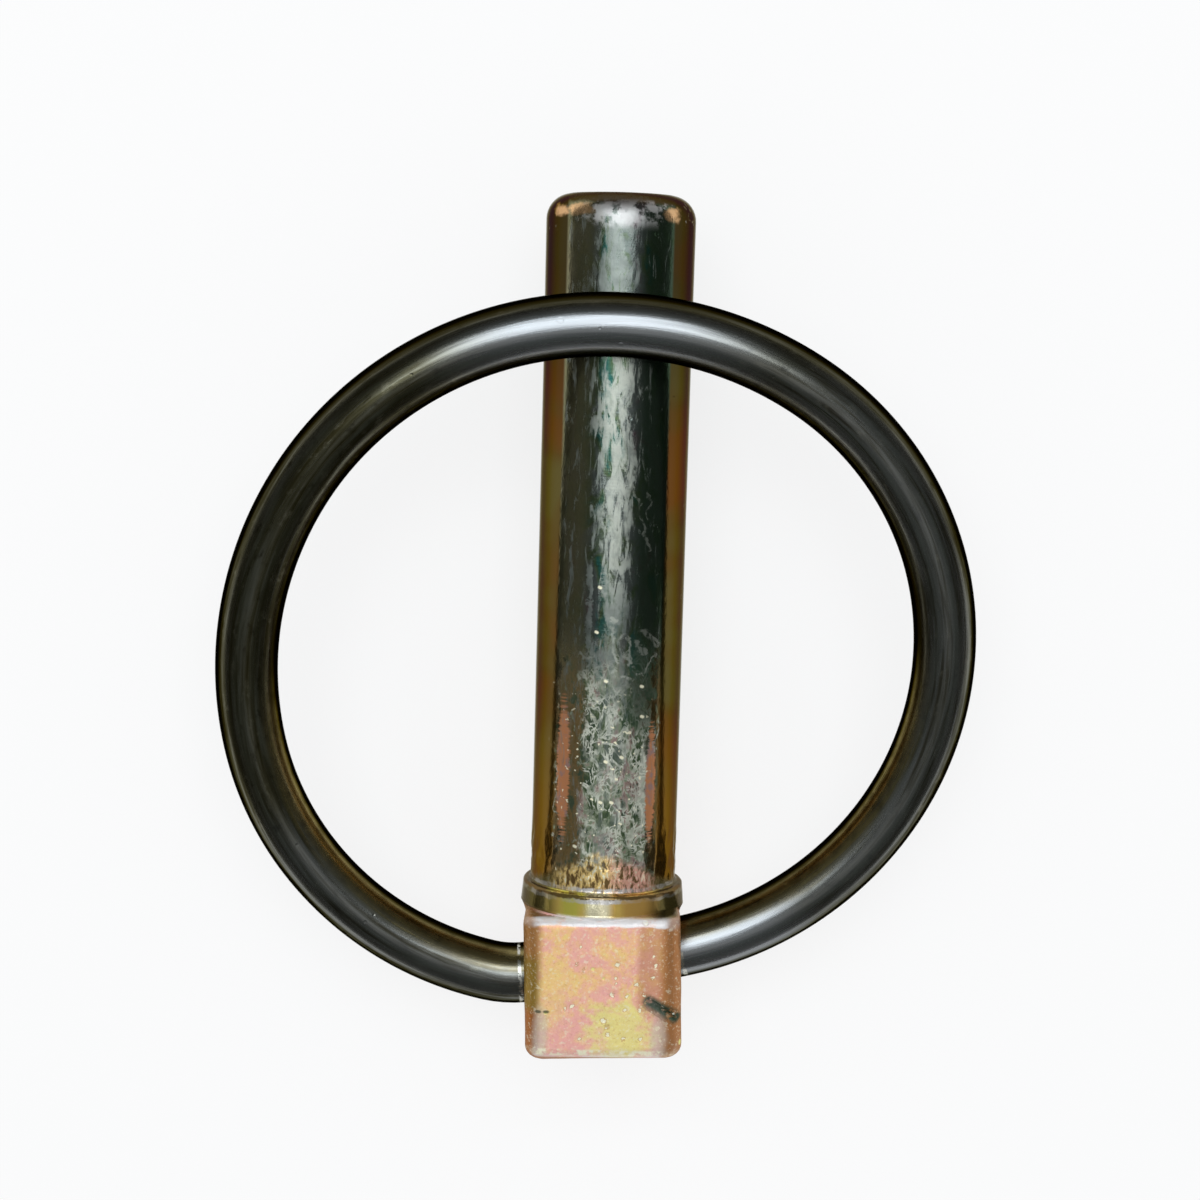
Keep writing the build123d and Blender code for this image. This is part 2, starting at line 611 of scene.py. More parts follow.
    def drill(self) -> Mesh:
        """Makes the cutter that opens the hole along the hinge line.

        Returns:
            The cutter's mesh, in millimetres.
        """
        slant = math.atan2(self.mouth_offset, self.head_width)
        turn = Matrix.Rotation(slant, 4, "Z") @ Matrix.Rotation(math.pi / 2, 4, "Y")
        place = Matrix.Translation((0, -self.hole_drop, 0)) @ turn
        return MeshTools.rod("drill", self.bore_radius, 2 * self.head_width, self.drill_facets, place)

    def gouge(self) -> Mesh:
        """Makes the round-bottomed cutter of the nick.

        Returns:
            The cutter's mesh, in millimetres.
        """
        run = Vector((math.cos(self.nick_fall), -math.sin(self.nick_fall), 0.0))
        start = Vector((
            self.head_width / 2 - self.nick_inset,
            -self.nick_drop,
            self.head_depth / 2 + self.nick_radius - self.nick_depth,
        ))
        turn = run.to_track_quat("Z", "Y").to_matrix().to_4x4()
        place = Matrix.Translation(start + run * self.nick_length / 2) @ turn
        return MeshTools.rod("gouge", self.nick_radius, self.nick_length, self.nick_facets, place)

    def build(self) -> Object:
        """Joins the turned part and the head, opens the hole and the nick, and works the surface.

        Returns:
            The pin's object, placed by its mesh.
        """
        head = MeshTools.boolean(self.head_block(), self.drill(), "DIFFERENCE")
        head = MeshTools.boolean(head, self.gouge(), "DIFFERENCE")
        mesh = MeshTools.boolean(head, self.turned_part(), "UNION")
        bm = bmesh.new()
        bm.from_mesh(mesh)
        bmesh.ops.remove_doubles(bm, verts=bm.verts, dist=self.seam_weld)
        bmesh.ops.dissolve_degenerate(bm, dist=self.seam_weld / 2, edges=bm.edges)
        self.soften_mouths(bm)
        bm.normal_update()
        MeshTools.shade_smooth(bm)
        self.mark_wear(bm)
        self.work_surface(bm)
        bmesh.ops.scale(bm, vec=(MM, MM, MM), verts=bm.verts)
        return MeshTools.stored(bm, self.name)

    def bore_distance(self, point: Vector) -> float:
        """Gives how far a point lies from the wall of the hole."""
        slant = math.atan2(self.mouth_offset, self.head_width)
        way = Vector((math.cos(slant), math.sin(slant), 0.0))
        offset = point - Vector((0, -self.hole_drop, 0))
        return (offset - way * offset.dot(way)).length - self.bore_radius

    def soften_mouths(self, bm: bmesh.types.BMesh) -> None:
        """Rounds the rims of the hole's two mouths by smoothing the points around them."""
        reach = self.head_width / 2 - self.mouth_depth
        nearest, farthest = self.mouth_reach
        rims = [v for v in bm.verts if abs(v.co.x) > reach and nearest < self.bore_distance(v.co) < farthest]
        for _ in range(self.mouth_rounds):
            bmesh.ops.smooth_vert(
                bm, verts=rims, factor=0.5, use_axis_x=True, use_axis_y=True, use_axis_z=True,
            )

    def mark_wear(self, bm: bmesh.types.BMesh) -> None:
        """Stores how strongly each point lies on a rounded edge, and how near it is to a dent's middle.

        Args:
            bm: the pin, with its normals up to date.
        """
        layer = bm.verts.layers.float.new("edge_wear")
        dents = bm.verts.layers.float.new("dents")
        unlean = Matrix.Rotation(-self.head_lean, 3, "Z")
        for vert in bm.verts:
            if vert.co.y < -self.collar_length and vert.normal.z > 0.5:
                vert[dents] = max(
                    max(0.0, 1.0 - math.hypot(vert.co.x - pit.across, vert.co.y - pit.height) / pit.reach)
                    for pit in self.pits
                )
            if vert.co.y < -self.collar_length - 0.05:
                parts = [abs(part) for part in unlean @ vert.normal]
            else:
                radial = Vector((vert.normal.x, 0.0, vert.normal.z)).length
                parts = [radial, abs(vert.normal.y)]
            vert[layer] = min(1.0, (1.0 - max(parts)) / self.full_wear)

    def work_surface(self, bm: bmesh.types.BMesh) -> None:
        """Moves the points by fractions of a millimetre: forging skin, hammer flats and dents.

        Args:
            bm: the pin, with its normals up to date.
        """
        for vert in bm.verts:
            point = vert.co
            if point.y > self.skin_start:
                shift = self.shank_shift(point)
            elif point.y > -self.collar_length:
                shift = self.collar_swell * noise.noise(point * 1.1)
            else:
                shift = self.head_shift(point, vert.normal)
            vert.co += vert.normal * shift

    def shank_shift(self, point: Vector) -> float:
        """Gives the shank's shift: wrinkled skin near its foot, and almost none above.

        Args:
            point: a point of the surface.

        Returns:
            The shift along the normal.
        """
        fade = 1.0 - min(1.0, max(0.0, (point.y - 0.7 * self.forged_height) / (0.9 * self.forged_height)))
        fade *= min(1.0, (point.y - self.skin_start) / self.skin_rise)
        wrinkles = noise.noise(Vector((point.x * 1.9, point.y * 0.75, point.z * 1.9)))
        grains = noise.noise(point * 3.1)
        skin = self.forged_swell * fade * (wrinkles * 1.1 + grains * 0.55)
        return skin + self.grip_wave * (noise.noise(point * 0.4) - 1.0)

    def head_shift(self, point: Vector, normal: Vector) -> float:
        """Gives the head's shift, which never goes outwards.

        Args:
            point: a point of the surface.
            normal: its outward direction.

        Returns:
            The shift along the normal.
        """
        clearance = self.bore_distance(point)
        if clearance < self.bore_margin:
            return 0.0
        hold = min(1.0, clearance / self.bore_fade)
        waves = 0.5 + 0.5 * noise.noise(point * 0.32 + Vector((4.1, 2.0, 7.7)))
        skin = 0.5 + 0.5 * noise.noise(point * 1.15)
        shift = -(self.head_wave * waves + self.head_skin * skin) * hold
        if normal.z > 0.5:
            for pit in self.pits:
                away = math.hypot(point.x - pit.across, point.y - pit.height) / pit.reach
                if away < 1.0:
                    shift -= pit.depth * (1.0 - away * away) ** 2
        return shift


class DrawnWire:
    """A round wire that is drawn on from its open end in one plane, straight or in arcs.

    Each point keeps its place on the straight wire, for the finish.
    """

    def __init__(self, radius: float, facets: int, start: float) -> None:
        """Starts with an open circle that faces along -X.

        Args:
            radius: the wire's radius.
            facets: how many sides the wire has.
            start: where the circle lies on the X axis.
        """
        self.bm = bmesh.new()
        self.straight = self.bm.verts.layers.float_vector.new("straight")
        turn = Matrix.Translation((start, 0, 0)) @ Matrix.Rotation(-math.pi / 2, 4, "Y")
        bmesh.ops.create_circle(self.bm, cap_ends=False, segments=facets, radius=radius, matrix=turn)
        for vert in self.bm.verts:
            vert[self.straight] = (0.0, vert.co.y, vert.co.z)
        self.loop = self.bm.edges[:]
        self.place = Vector((start, 0.0))
        self.heading = math.pi
        self.run = 0.0

    def points(self) -> list[bmesh.types.BMVert]:
        """Lists the points of the open end."""
        return list({vert for edge in self.loop for vert in edge.verts})

    def take_over(self, made: list[object], length: float) -> None:
        """Makes the newest loop the open end and stores how far along the wire it lies."""
        self.loop = [part for part in made if isinstance(part, bmesh.types.BMEdge)]
        self.run += length
        for vert in self.points():
            vert[self.straight] = (self.run, *vert[self.straight][1:])

    def go_straight(self, length: float, steps: int) -> None:
        """Goes straight on over a length, in equal steps."""
        way = Vector((math.cos(self.heading), math.sin(self.heading)))
        step = way * (length / steps)
        for _ in range(steps):
            self.take_over(bmesh.ops.extrude_edge_only(self.bm, edges=self.loop)["geom"], length / steps)
            bmesh.ops.translate(self.bm, vec=(step.x, step.y, 0.0), verts=self.points())
        self.place = self.place + way * length

    def bend(self, length: float, turned: float, steps: int) -> None:
        """Goes on in an arc.

        Args:
            length: how long the arc is.
            turned: how far it turns to the left.
            steps: in how many steps it is drawn.
        """
        radius = length / turned
        centre = self.place + Vector((-math.sin(self.heading), math.cos(self.heading))) * radius
        for _ in range(steps):
            made = bmesh.ops.spin(
                self.bm, geom=self.loop + self.points(), cent=(centre.x, centre.y, 0.0), axis=(0, 0, 1),
                dvec=(0, 0, 0), angle=turned / steps, steps=1, use_duplicate=False,
            )
            self.take_over(made["geom_last"], length / steps)
        self.heading += turned
        self.place = centre + Vector((math.sin(self.heading), -math.cos(self.heading))) * radius

    def scale_end(self, size: float) -> None:
        """Scales the open end about its middle."""
        middle = Matrix.Translation((-self.place.x, -self.place.y, 0.0))
        bmesh.ops.scale(self.bm, vec=(size, size, size), verts=self.points(), space=middle)

    def close_end(self) -> None:
        """Closes the open end with a face."""
        bmesh.ops.contextual_create(self.bm, geom=self.loop)


@dataclass
class SpringRing:
    """The ring: one round spring wire, bent by hand to a ring that isn't quite round."""

    wire_radius: float = 2.3
    rubbed_off: float = 0.004
    left_reach: float = 22.36
    left_height: float = 22.07
    crown_offset: float = 3.7
    crown_height: float = 48.81
    right_reach: float = 29.61
    right_height: float = 24.23
    left_bend: float = math.radians(24.5)
    left_bend_radius: float = 8.0
    bend_set_in: float = 0.7
    end_gap: float = 2.4
    end_bevel: float = 0.4
    closed_gap: float = 0.15
    shank_radius: float = 5.5
    head_width: float = 11.8
    hole_drop: float = 6.48
    mouth_offset: float = 2.35
    facets: int = 44
    step: float = 0.7
    name: str = "spring_wire_ring"
    slant: float = field(init=False)
    tilt: float = field(init=False)

    def __post_init__(self) -> None:
        """Works out the slant of the hinge line and the tilt at which the ring lies closed."""
        self.slant = math.atan2(self.mouth_offset, self.head_width)
        shift = self.crown_height * math.tan(self.slant) - self.crown_offset
        crossing = self.crown_height - shift**2 / (2 * (self.right_reach - self.crown_offset))
        self.tilt = math.asin((self.shank_radius + self.closed_gap + self.wire_radius) / crossing)

    def plane(self) -> Matrix:
        """Gives the ring's plane: across along the hinge line, up towards the crown.

        Returns:
            The matrix that takes the flat ring to its closed place.
        """
        across = Vector((math.cos(self.slant), math.sin(self.slant), 0.0))
        up = Vector((
            -math.sin(self.slant) * math.cos(self.tilt),
            math.cos(self.slant) * math.cos(self.tilt),
            math.sin(self.tilt),
        ))
        turn = Matrix((across, up, across.cross(up))).transposed().to_4x4()
        return Matrix.Translation((0, -self.hole_drop, 0)) @ turn

    def legs(self) -> list[tuple[float, float]]:
        """Lists the wire's legs from its left end, each as a length and the angle it turns to the left.

        Returns:
            Pairs of length and turn. A straight leg turns by nothing.
        """
        reach = self.head_width / 2 / math.cos(self.slant)
        stub = (reach - self.bend_set_in - self.end_gap / 2 - self.end_bevel, 0.0)
        legs = [stub, (self.left_bend_radius * self.left_bend, -self.left_bend)]
        place = Vector((-reach + self.bend_set_in, 0.0))
        swing = self.left_bend_radius
        place += Vector((-swing * math.sin(self.left_bend), swing * (1 - math.cos(self.left_bend))))
        heading = Vector((-math.cos(self.left_bend), math.sin(self.left_bend)))
        stations = [
            (Vector((-self.left_reach, self.left_height)), Vector((0.0, 1.0))),
            (Vector((self.crown_offset, self.crown_height)), Vector((1.0, 0.0))),
            (Vector((self.right_reach, self.right_height)), Vector((0.0, -1.0))),
            (Vector((reach - self.bend_set_in, 0.0)), Vector((-1.0, 0.0))),
        ]
        for end, end_heading in stations:
            legs += self.two_arcs(place, heading, end, end_heading)
            place, heading = end, end_heading
        return [*legs, stub]

    @staticmethod
    def two_arcs(start: Vector, start_way: Vector, end: Vector, end_way: Vector) -> list[tuple[float, float]]:
        """Joins two points, each with its direction, by two arcs that run into each other.

        Args:
            start: the first point.
            start_way: the direction there.
            end: the last point.
            end_way: the direction there.

        Returns:
            The two arcs as pairs of length and turn.
        """
        chord = end - start
        pull = chord.dot(start_way + end_way)
        opening = 2 * (1 - start_way.dot(end_way))
        handle = (math.sqrt(pull**2 + opening * chord.dot(chord)) - pull) / opening
        first_handle = start + start_way * handle
        last_handle = end - end_way * handle
        middle = (first_handle + last_handle) / 2
        arcs = []
        middle_way = (last_handle - first_handle).normalized()
        for place, way, goal in ((start, start_way, middle), (middle, middle_way, end)):
            span = goal - place
            side = way.x * span.y - way.y * span.x
            half = math.atan2(side, way.dot(span))
            arcs.append((span.length * half / math.sin(half), 2 * half))
        return arcs

    def build(self) -> Object:
        """Draws the wire along its legs, with both cut ends deburred.

        Returns:
            The ring's object, placed by its mesh.
        """
        wire = DrawnWire(self.wire_radius - self.rubbed_off, self.facets, -self.end_gap / 2)
        cut_radius = self.wire_radius - self.end_bevel
        wire.close_end()
        wire.scale_end(cut_radius / self.wire_radius)
        wire.go_straight(self.end_bevel, 1)
        wire.scale_end(self.wire_radius / cut_radius)
        for length, turned in self.legs():
            steps = max(2, math.ceil(length / self.step))
            if turned:
                wire.bend(length, turned, steps)
            else:
                wire.go_straight(length, steps)
        wire.go_straight(self.end_bevel, 1)
        wire.scale_end(cut_radius / self.wire_radius)
        wire.close_end()
        bmesh.ops.transform(wire.bm, matrix=Matrix.Scale(MM, 4) @ self.plane(), verts=wire.bm.verts)
        bmesh.ops.recalc_face_normals(wire.bm, faces=wire.bm.faces)
        MeshTools.shade_smooth(wire.bm)
        return MeshTools.stored(wire.bm, self.name)


class ShaderGroup:
    """A node group that is built at its first use."""

    name: str
    inputs: dict[str, str]
    outputs: tuple[str, ...]

    @classmethod
    def work_out(cls, shader: Shader, *sources: Signal) -> tuple[Signal, ...]:
        """Works out the group's outputs from its inputs."""
        raise NotImplementedError

    @classmethod
    def tree(cls) -> ShaderNodeTree:
        """Builds the group once.

        Returns:
            The node group.
        """
        if cls.name in bpy.data.node_groups:
            return bpy.data.node_groups[cls.name]
        tree = bpy.data.node_groups.new(cls.name, "ShaderNodeTree")
        for label, kind in cls.inputs.items():
            tree.interface.new_socket(label, in_out="INPUT", socket_type=kind)
        for label in cls.outputs:
            tree.interface.new_socket(label, in_out="OUTPUT", socket_type="NodeSocketFloat")
        shader = Shader(tree)
        sources = shader.outputs("NodeGroupInput")[:len(cls.inputs)]
        shader.add("NodeGroupOutput", dict(zip(cls.outputs, cls.work_out(shader, *sources))))
        return tree

    @classmethod
    def use(cls, shader: Shader, *values: object) -> list[Signal]:
        """Adds the group to a material and lists what it puts out."""
        return shader.outputs("ShaderNodeGroup", dict(zip(cls.inputs, values)), node_tree=cls.tree())


class HandlingMarks(ShaderGroup):
    """The group for small pits and cloudy mottle, which both finishes wear."""

    name = "handling_marks"
    inputs = {"Place": "NodeSocketVector"}
    outputs = ("Pits", "Mottle")

    @classmethod
    def work_out(cls, shader: Shader, place: Signal) -> tuple[Signal, ...]:
        """Strews pits of mixed sizes over a place in millimetres, and clouds it.

        Args:
            shader: the group's nodes.
            place: the coordinates, in millimetres.

        Returns:
            The pits and the mottle.
        """
        cells = shader.add("ShaderNodeTexVoronoi", {"Vector": place, "Scale": 0.95}, feature="F1")
        reach = place.noise(0.55, 1.0, 0.5, shift=(7.0, 1.0, 4.0)).span(0.55, 0.8, 0.0, 0.28)
        pits = (reach - Signal(shader, cells.outputs["Distance"])).span(0.0, 0.08)
        return pits, place.noise(0.8, 5.0, 0.62, twist=0.5)


@dataclass(frozen=True)
class Scuff:
    """A scratch as a row of points, in millimetres on the front of the pin."""

    points: tuple[Pair, ...]
    width: float
    strength: float = 1.0


class ScuffStroke(ShaderGroup):
    """The group for one straight scratch between two points."""

    name = "scuff_stroke"
    inputs = {**dict.fromkeys(("Place", "From", "To"), "NodeSocketVector"), "Width": "NodeSocketFloat"}
    outputs = ("Mask",)

    @classmethod
    def work_out(cls, shader: Shader, place: Signal, start: Signal, end: Signal, width: Signal) -> tuple[Signal]:
        """Marks what lies near the line between two points.

        Args:
            shader: the group's nodes.
            place: the coordinates, in millimetres.
            start: the first point.
            end: the last point.
            width: the scratch's half width.

        Returns:
            The mask.
        """
        way = shader.vector("SUBTRACT", end, start)
        offset = shader.vector("SUBTRACT", place, start)
        along = shader.vector("DOT_PRODUCT", offset, way) / shader.vector("DOT_PRODUCT", way, way)
        nearest = shader.vector("SCALE", way, shader.math("ADD", along, 0.0, clamp=True))
        away = shader.vector("LENGTH", shader.vector("SUBTRACT", offset, nearest))
        return ((away / width).span(1.0, 0.35),)

    @classmethod
    def on(cls, place: Signal, start: Pair, end: Pair, width: float) -> Signal:
        """Adds one scratch on the front and gives its mask."""
        return cls.use(place.shader, place.flat(), (*start, 0.0), (*end, 0.0), width)[0]


@dataclass(frozen=True)
class FilmColours:
    """The colours that a yellow chromate film shows, from thin to thick and from clean to worn, and the colours of
    the painted highlights, glints, shade and reflections laid over it.
    """

    ochre: Colour = colour(0.105, 0.066, 0.018)
    # Painted shade on the shank's flanks.
    painted_flank_red: Colour = colour(0.135, 0.056, 0.014)
    # Painted shade on the sides of the shank, the foot and the collar.
    painted_side_shade: Colour = colour(0.11, 0.088, 0.028)
    # Painted shade on the lower flanks.
    painted_flank_amber: Colour = colour(0.21, 0.115, 0.026)
    umber: Colour = colour(0.17, 0.105, 0.040)
    sage: Colour = colour(0.25, 0.30, 0.20)
    blush: Colour = colour(0.36, 0.23, 0.21)
    chalk: Colour = colour(0.80, 0.82, 0.70)
    # Painted highlight colour for the painted glints and sparkles.
    painted_glint: Colour = colour(1.0, 0.95, 0.70)
    # Painted shade on the top of the nose.
    painted_tip_shade: Colour = colour(0.055, 0.034, 0.014)
    # Painted shade on the upper flanks.
    painted_flank_dark: Colour = colour(0.030, 0.023, 0.009)
    citron: Colour = colour(0.86, 0.78, 0.14)
    deep_gold: Colour = colour(0.98, 0.72, 0.18)
    bronze: Colour = colour(0.80, 0.48, 0.13)
    ash: Colour = colour(0.66, 0.58, 0.50)
    olive: Colour = colour(0.24, 0.22, 0.12)
    moss: Colour = colour(0.065, 0.095, 0.045)
    black_green: Colour = colour(0.032, 0.060, 0.034)
    teal: Colour = colour(0.020, 0.090, 0.078)
    slate: Colour = colour(0.11, 0.13, 0.12)
    plum: Colour = colour(0.13, 0.085, 0.10)
    rubbed: Colour = colour(0.36, 0.40, 0.37)
    # Painted reflection colour for the strips near the flanks.
    terracotta: Colour = colour(0.56, 0.24, 0.11)
    gold: Colour = colour(0.95, 0.68, 0.26)
    lemon: Colour = colour(0.90, 0.80, 0.30)
    orange: Colour = colour(0.97, 0.59, 0.30)
    salmon: Colour = colour(0.96, 0.51, 0.39)
    rose: Colour = colour(0.94, 0.47, 0.43)
    # Painted shade on the head's rounded corners and bottom edge.
    russet: Colour = colour(0.42, 0.15, 0.035)
    copper: Colour = colour(0.50, 0.22, 0.08)
    # Painted shade on the head's rounded corners.
    old_gold: Colour = colour(0.33, 0.20, 0.028)
    # Bare metal on worn edges, and the colour of the painted highlights on the nose, the lips and the head's top
    # edge.
    bare_and_highlight: Colour = colour(0.88, 0.86, 0.86)


@dataclass(frozen=True)
class YellowPlating:
    """Worn yellow zinc plating: glossy olive film with rubbed streaks, gold at the foot, salmon on the head, with
    painted highlights, glints, shade and reflections laid over it.

    All places, heights and widths are in millimetres on the front of the pin.
    """

    name: str = "yellow_plating"
    film: FilmColours = FilmColours()
    tinge: Colour = colour(0.38, 0.34, 0.24)
    grain_depth: float = 0.00004
    head_start: Pair = (-1.45, -1.75)
    collar_start: Pair = (0.16, 0.0)
    front_start: Pair = (0.5, 2.5)
    # Where the painted shade on the flanks starts and where it is full, counted from the middle.
    painted_flank_start: Pair = (3.75, 3.95)
    scuffs: tuple[Scuff, ...] = (
        Scuff(((0.73, 32.25), (1.55, 29.6), (2.60, 25.74)), 0.17, 0.55),
        Scuff(((2.35, 29.9), (2.75, 27.8)), 0.13, 0.4),
        Scuff(((0.42, 19.45), (0.95, 19.5), (1.55, 19.0), (1.55, 18.3), (1.3, 17.4)), 0.24, 0.8),
        Scuff(((1.9, 19.8), (2.7, 19.65), (3.35, 18.7)), 0.26, 0.7),
        Scuff(((3.45, 17.9), (2.75, 16.9), (1.95, 16.5)), 0.22, 0.7),
        Scuff(((2.1, 18.9), (2.5, 18.0)), 0.2, 0.6),
        Scuff(((0.26, 20.6), (0.33, 16.5)), 0.24, 0.9),
        Scuff(((0.1, 16.35), (1.7, 16.15)), 0.22, 1.0),
        Scuff(((0.30, 15.9), (0.25, 13.4)), 0.17, 0.7),
        Scuff(((-2.4, 17.75), (-1.3, 17.95)), 0.16, 0.6),
        Scuff(((-0.48, 16.15), (0.10, 15.95)), 0.15, 1.6),
        Scuff(((-1.6, 17.0), (-0.7, 17.05)), 0.12, 0.4),
        Scuff(((0.55, 12.2), (1.35, 9.9)), 0.12, 0.4),
        Scuff(((-1.1, 14.6), (-0.5, 13.4)), 0.12, 0.4),
        Scuff(((-3.68, 9.6), (-3.68, 3.2)), 0.10, 0.9),
        Scuff(((3.62, 13.0), (3.60, 10.6)), 0.12, 0.9),
    )
    # Spots on the shank that get a painted glint.
    painted_glint_spots: tuple[Pair, ...] = (
        (-0.20, 16.0), (2.46, 15.6), (2.54, 13.35), (-0.82, 22.9), (-0.05, 10.0), (1.12, 10.35), (-0.36, 6.95),
        (0.46, 6.95), (-2.16, 3.5), (-0.98, 19.6),
    )
    tip_patches: tuple[tuple[Pair, Pair], ...] = (
        ((-2.6, 50.1), (1.1, 0.42)), ((3.5, 50.0), (0.55, 0.42)), ((-4.2, 50.1), (0.5, 0.36)),
    )
    worn_corners: tuple[tuple[Pair, Pair], ...] = (((-4.35, -10.6), (0.55, 1.9)), ((4.45, -10.7), (0.62, 2.1)))
    dark_flaws: tuple[Pair, ...] = ((-4.55, -8.83), (-3.95, -8.81))
    flaw_reach: Pair = (0.24, 0.12)
    nick: tuple[Pair, Pair] = ((3.7, -7.85), (5.6, -9.0))
    nick_width: float = 0.72

    def build(self) -> Material:
        """Builds the material.

        Returns:
            The new material.
        """
        material, shader = new_material(self.name)
        place = shader.millimetres()
        across, height, _ = place.parts()
        pits, mottle = HandlingMarks.use(shader, place)
        on_head, on_collar = height.span(*self.head_start), height.span(*self.collar_start)
        tint, rubbed, matte = self.shank_colour(place)
        foot = self.foot_mask(place)
        tint = tint.mix(foot, self.foot_colour(place)).mix(on_collar, self.collar_colour(place))
        metal = shader.lerp(matte, 0.92, 0.5).lerp(foot, 0.6).lerp(on_collar, 0.72)
        rough = mottle.span(0.3, 0.7, 0.15, 0.26)
        polish = ((rubbed, 0.46), (matte, 0.4), (abs(across).span(3.4, 3.8), 0.1), (foot, 0.3), (on_collar, 0.16))
        for mask, value in polish:
            rough = rough.lerp(mask, value)
        surface = shader.add("ShaderNodeBsdfPrincipled", {
            "Base Color": tint.mix(on_head, self.head_colour(place, pits, mottle)),
            "Metallic": metal.lerp(on_head, abs(across).span(4.4, 5.2, 0.3, 0.55)),
            "Specular Tint": self.tinge,
            "Roughness": rough.lerp(on_head, mottle.span(0.3, 0.7, 0.4, 0.52)),
            "Normal": self.bump(place, pits, foot, on_collar - on_head),
        })
        shader.add("ShaderNodeOutputMaterial", {0: surface.outputs[0]})
        return material

    @staticmethod
    def flecks(place: Signal) -> Signal:
        """Gives the upright flecks of the forged skin at the foot."""
        return place.noise(1.0, 3.0, 0.6, stretch=(3.4, 1.3, 3.4), twist=0.3)

    def bump(self, place: Signal, pits: Signal, foot: Signal, calm: Signal) -> NodeSocket:
        """Adds the fine relief: grain, turning lines, pits and the foot's flecks.

        Args:
            place: the coordinates, in millimetres.
            pits: where the small pits are.
            foot: where the foot's forged skin is.
            calm: 1 on the smooth collar.

        Returns:
            The bumped normal.
        """
        grain = place.noise(4.2, 3.0, 0.6, stretch=(1.0, 0.5, 1.0))
        lines = place.noise(1.0, 2.0, 0.6, stretch=(0.5, 9.0, 0.5))
        relief = grain * 0.6 + self.flecks(place) * (foot * 3.2) + lines * 0.25 - pits * 1.4
        relief = relief * place.shader.lerp(calm, 0.85, 0.2)
        inputs = {"Strength": 0.5, "Distance": self.grain_depth, "Height": relief}
        return place.shader.add("ShaderNodeBump", inputs).outputs[0]

    def shank_colour(self, place: Signal) -> tuple[Signal, Signal, Signal]:
        """Mixes the shank's film, its flanks, its tip and what the ring and handling rubbed pale, with painted
        shade on the flanks and the nose, painted reflections near the flanks, and painted highlights and glints.

        Args:
            place: the coordinates, in millimetres.

        Returns:
            The colour, a mask of where it is rubbed or carries the painted highlight on the nose, and one of where
            it is matte.
        """
        film, shader = self.film, place.shader
        across, height, _ = place.parts()
        crumbs = place.noise(1.5, 4.0, 0.68, stretch=(1.0, 0.55, 1.0), twist=0.4, shift=(6.0, 4.0, 1.0))
        tint, low, centre = self.film_colour(place)
        # Painted reflection: terracotta and blush strips just inside both flanks stand for something bright
        # mirrored there.
        painted_reflection_strips = (place.strip((-3.2, 9.3), (0.72, 7.4)) | place.strip((3.3, 8.2), (0.55, 6.4)))
        painted_reflection_strips = painted_reflection_strips * abs(across).span(3.72, 3.66)
        tint = tint.mix(place.strip((2.75, 8.2), (0.5, 5.0)) * 0.5, film.chalk)
        tint = tint.mix(painted_reflection_strips, shader.mix(self.rag(place).span(0.5, 0.66), film.terracotta, film.blush))

        rubbed, highlight_band = self.rubbed_band(place, low, crumbs)
        film_gap = place.strip((-0.75, 20.0), (0.55, 6.5)) * crumbs.span(0.6, 0.44, 0.0, 0.8)
        tint = tint.mix(film_gap * 0.8, film.teal)
        rubbed = rubbed * (1.0 - film_gap) * height.span(44.0, 47.5, 1.0, 0.8)
        scratch = self.scratches(place) * crumbs.span(0.4, 0.56, 0.05, 0.8)
        rubbed = rubbed | scratch
        dull = place.noise(1.3, 2.0, 0.5) + height.span(27.0, 19.0, -0.25, 0.12)
        tint = tint.mix(rubbed, shader.mix(dull, film.rubbed, film.slate))
        # Painted highlight: chalk over the rubbed streaks in the middle of the shank, strongest about halfway up.
        painted_streak_highlight = rubbed * highlight_band * abs(height - 32.0).span(13.0, 6.0, 0.0, 0.4)
        tint = tint.mix(painted_streak_highlight, film.chalk).mix(scratch * 0.4, film.chalk)

        # Painted glints: pale gold sparkles in the middle of the lower shank and at the listed spots.
        painted_sparkle = place.noise(2.6, 1.0, 0.5, shift=(5.0, 3.0, 1.0)).span(0.69, 0.73)
        painted_sparkle = painted_sparkle * (centre * height.span(18.0, 10.0))
        for left, level in self.painted_glint_spots:
            painted_sparkle = painted_sparkle | ScuffStroke.on(place, (left - 0.05, level + 0.02), (left + 0.05, level - 0.02), 0.16)
        tint = tint.mix(painted_sparkle, film.painted_glint)
        matte = painted_reflection_strips | painted_sparkle | low * centre

        worn = place.noise(0.9, 4.0, 0.62) + abs(across - 0.5).span(3.6, 1.2, -0.12, 0.14)
        # Painted highlight: pale bare metal on the nose's rounded edge, where the highlight falls.
        tip = height.span(48.6, 49.6) * height.span(51.0, 50.4) * worn.span(0.5, 0.64)
        # Painted shade: dark brown over the top of the nose.
        tint = tint.mix((height + worn).span(50.9, 51.3) * 0.9, film.painted_tip_shade)
        for spot, reach in self.tip_patches:
            tint = tint.mix(place.spot(spot, reach, 1.0, (worn - 0.4) * 3.0) * 0.65, film.orange)
        return tint.mix(tip * 0.6, film.bare_and_highlight), rubbed | tip, matte

    @staticmethod
    def rag(place: Signal) -> Signal:
        """Gives the ragged clouds that fray the edges of the shank's patches."""
        return place.noise(1.1, 4.0, 0.65, stretch=(1.0, 0.6, 1.0), shift=(3.0, 3.0, 8.0))

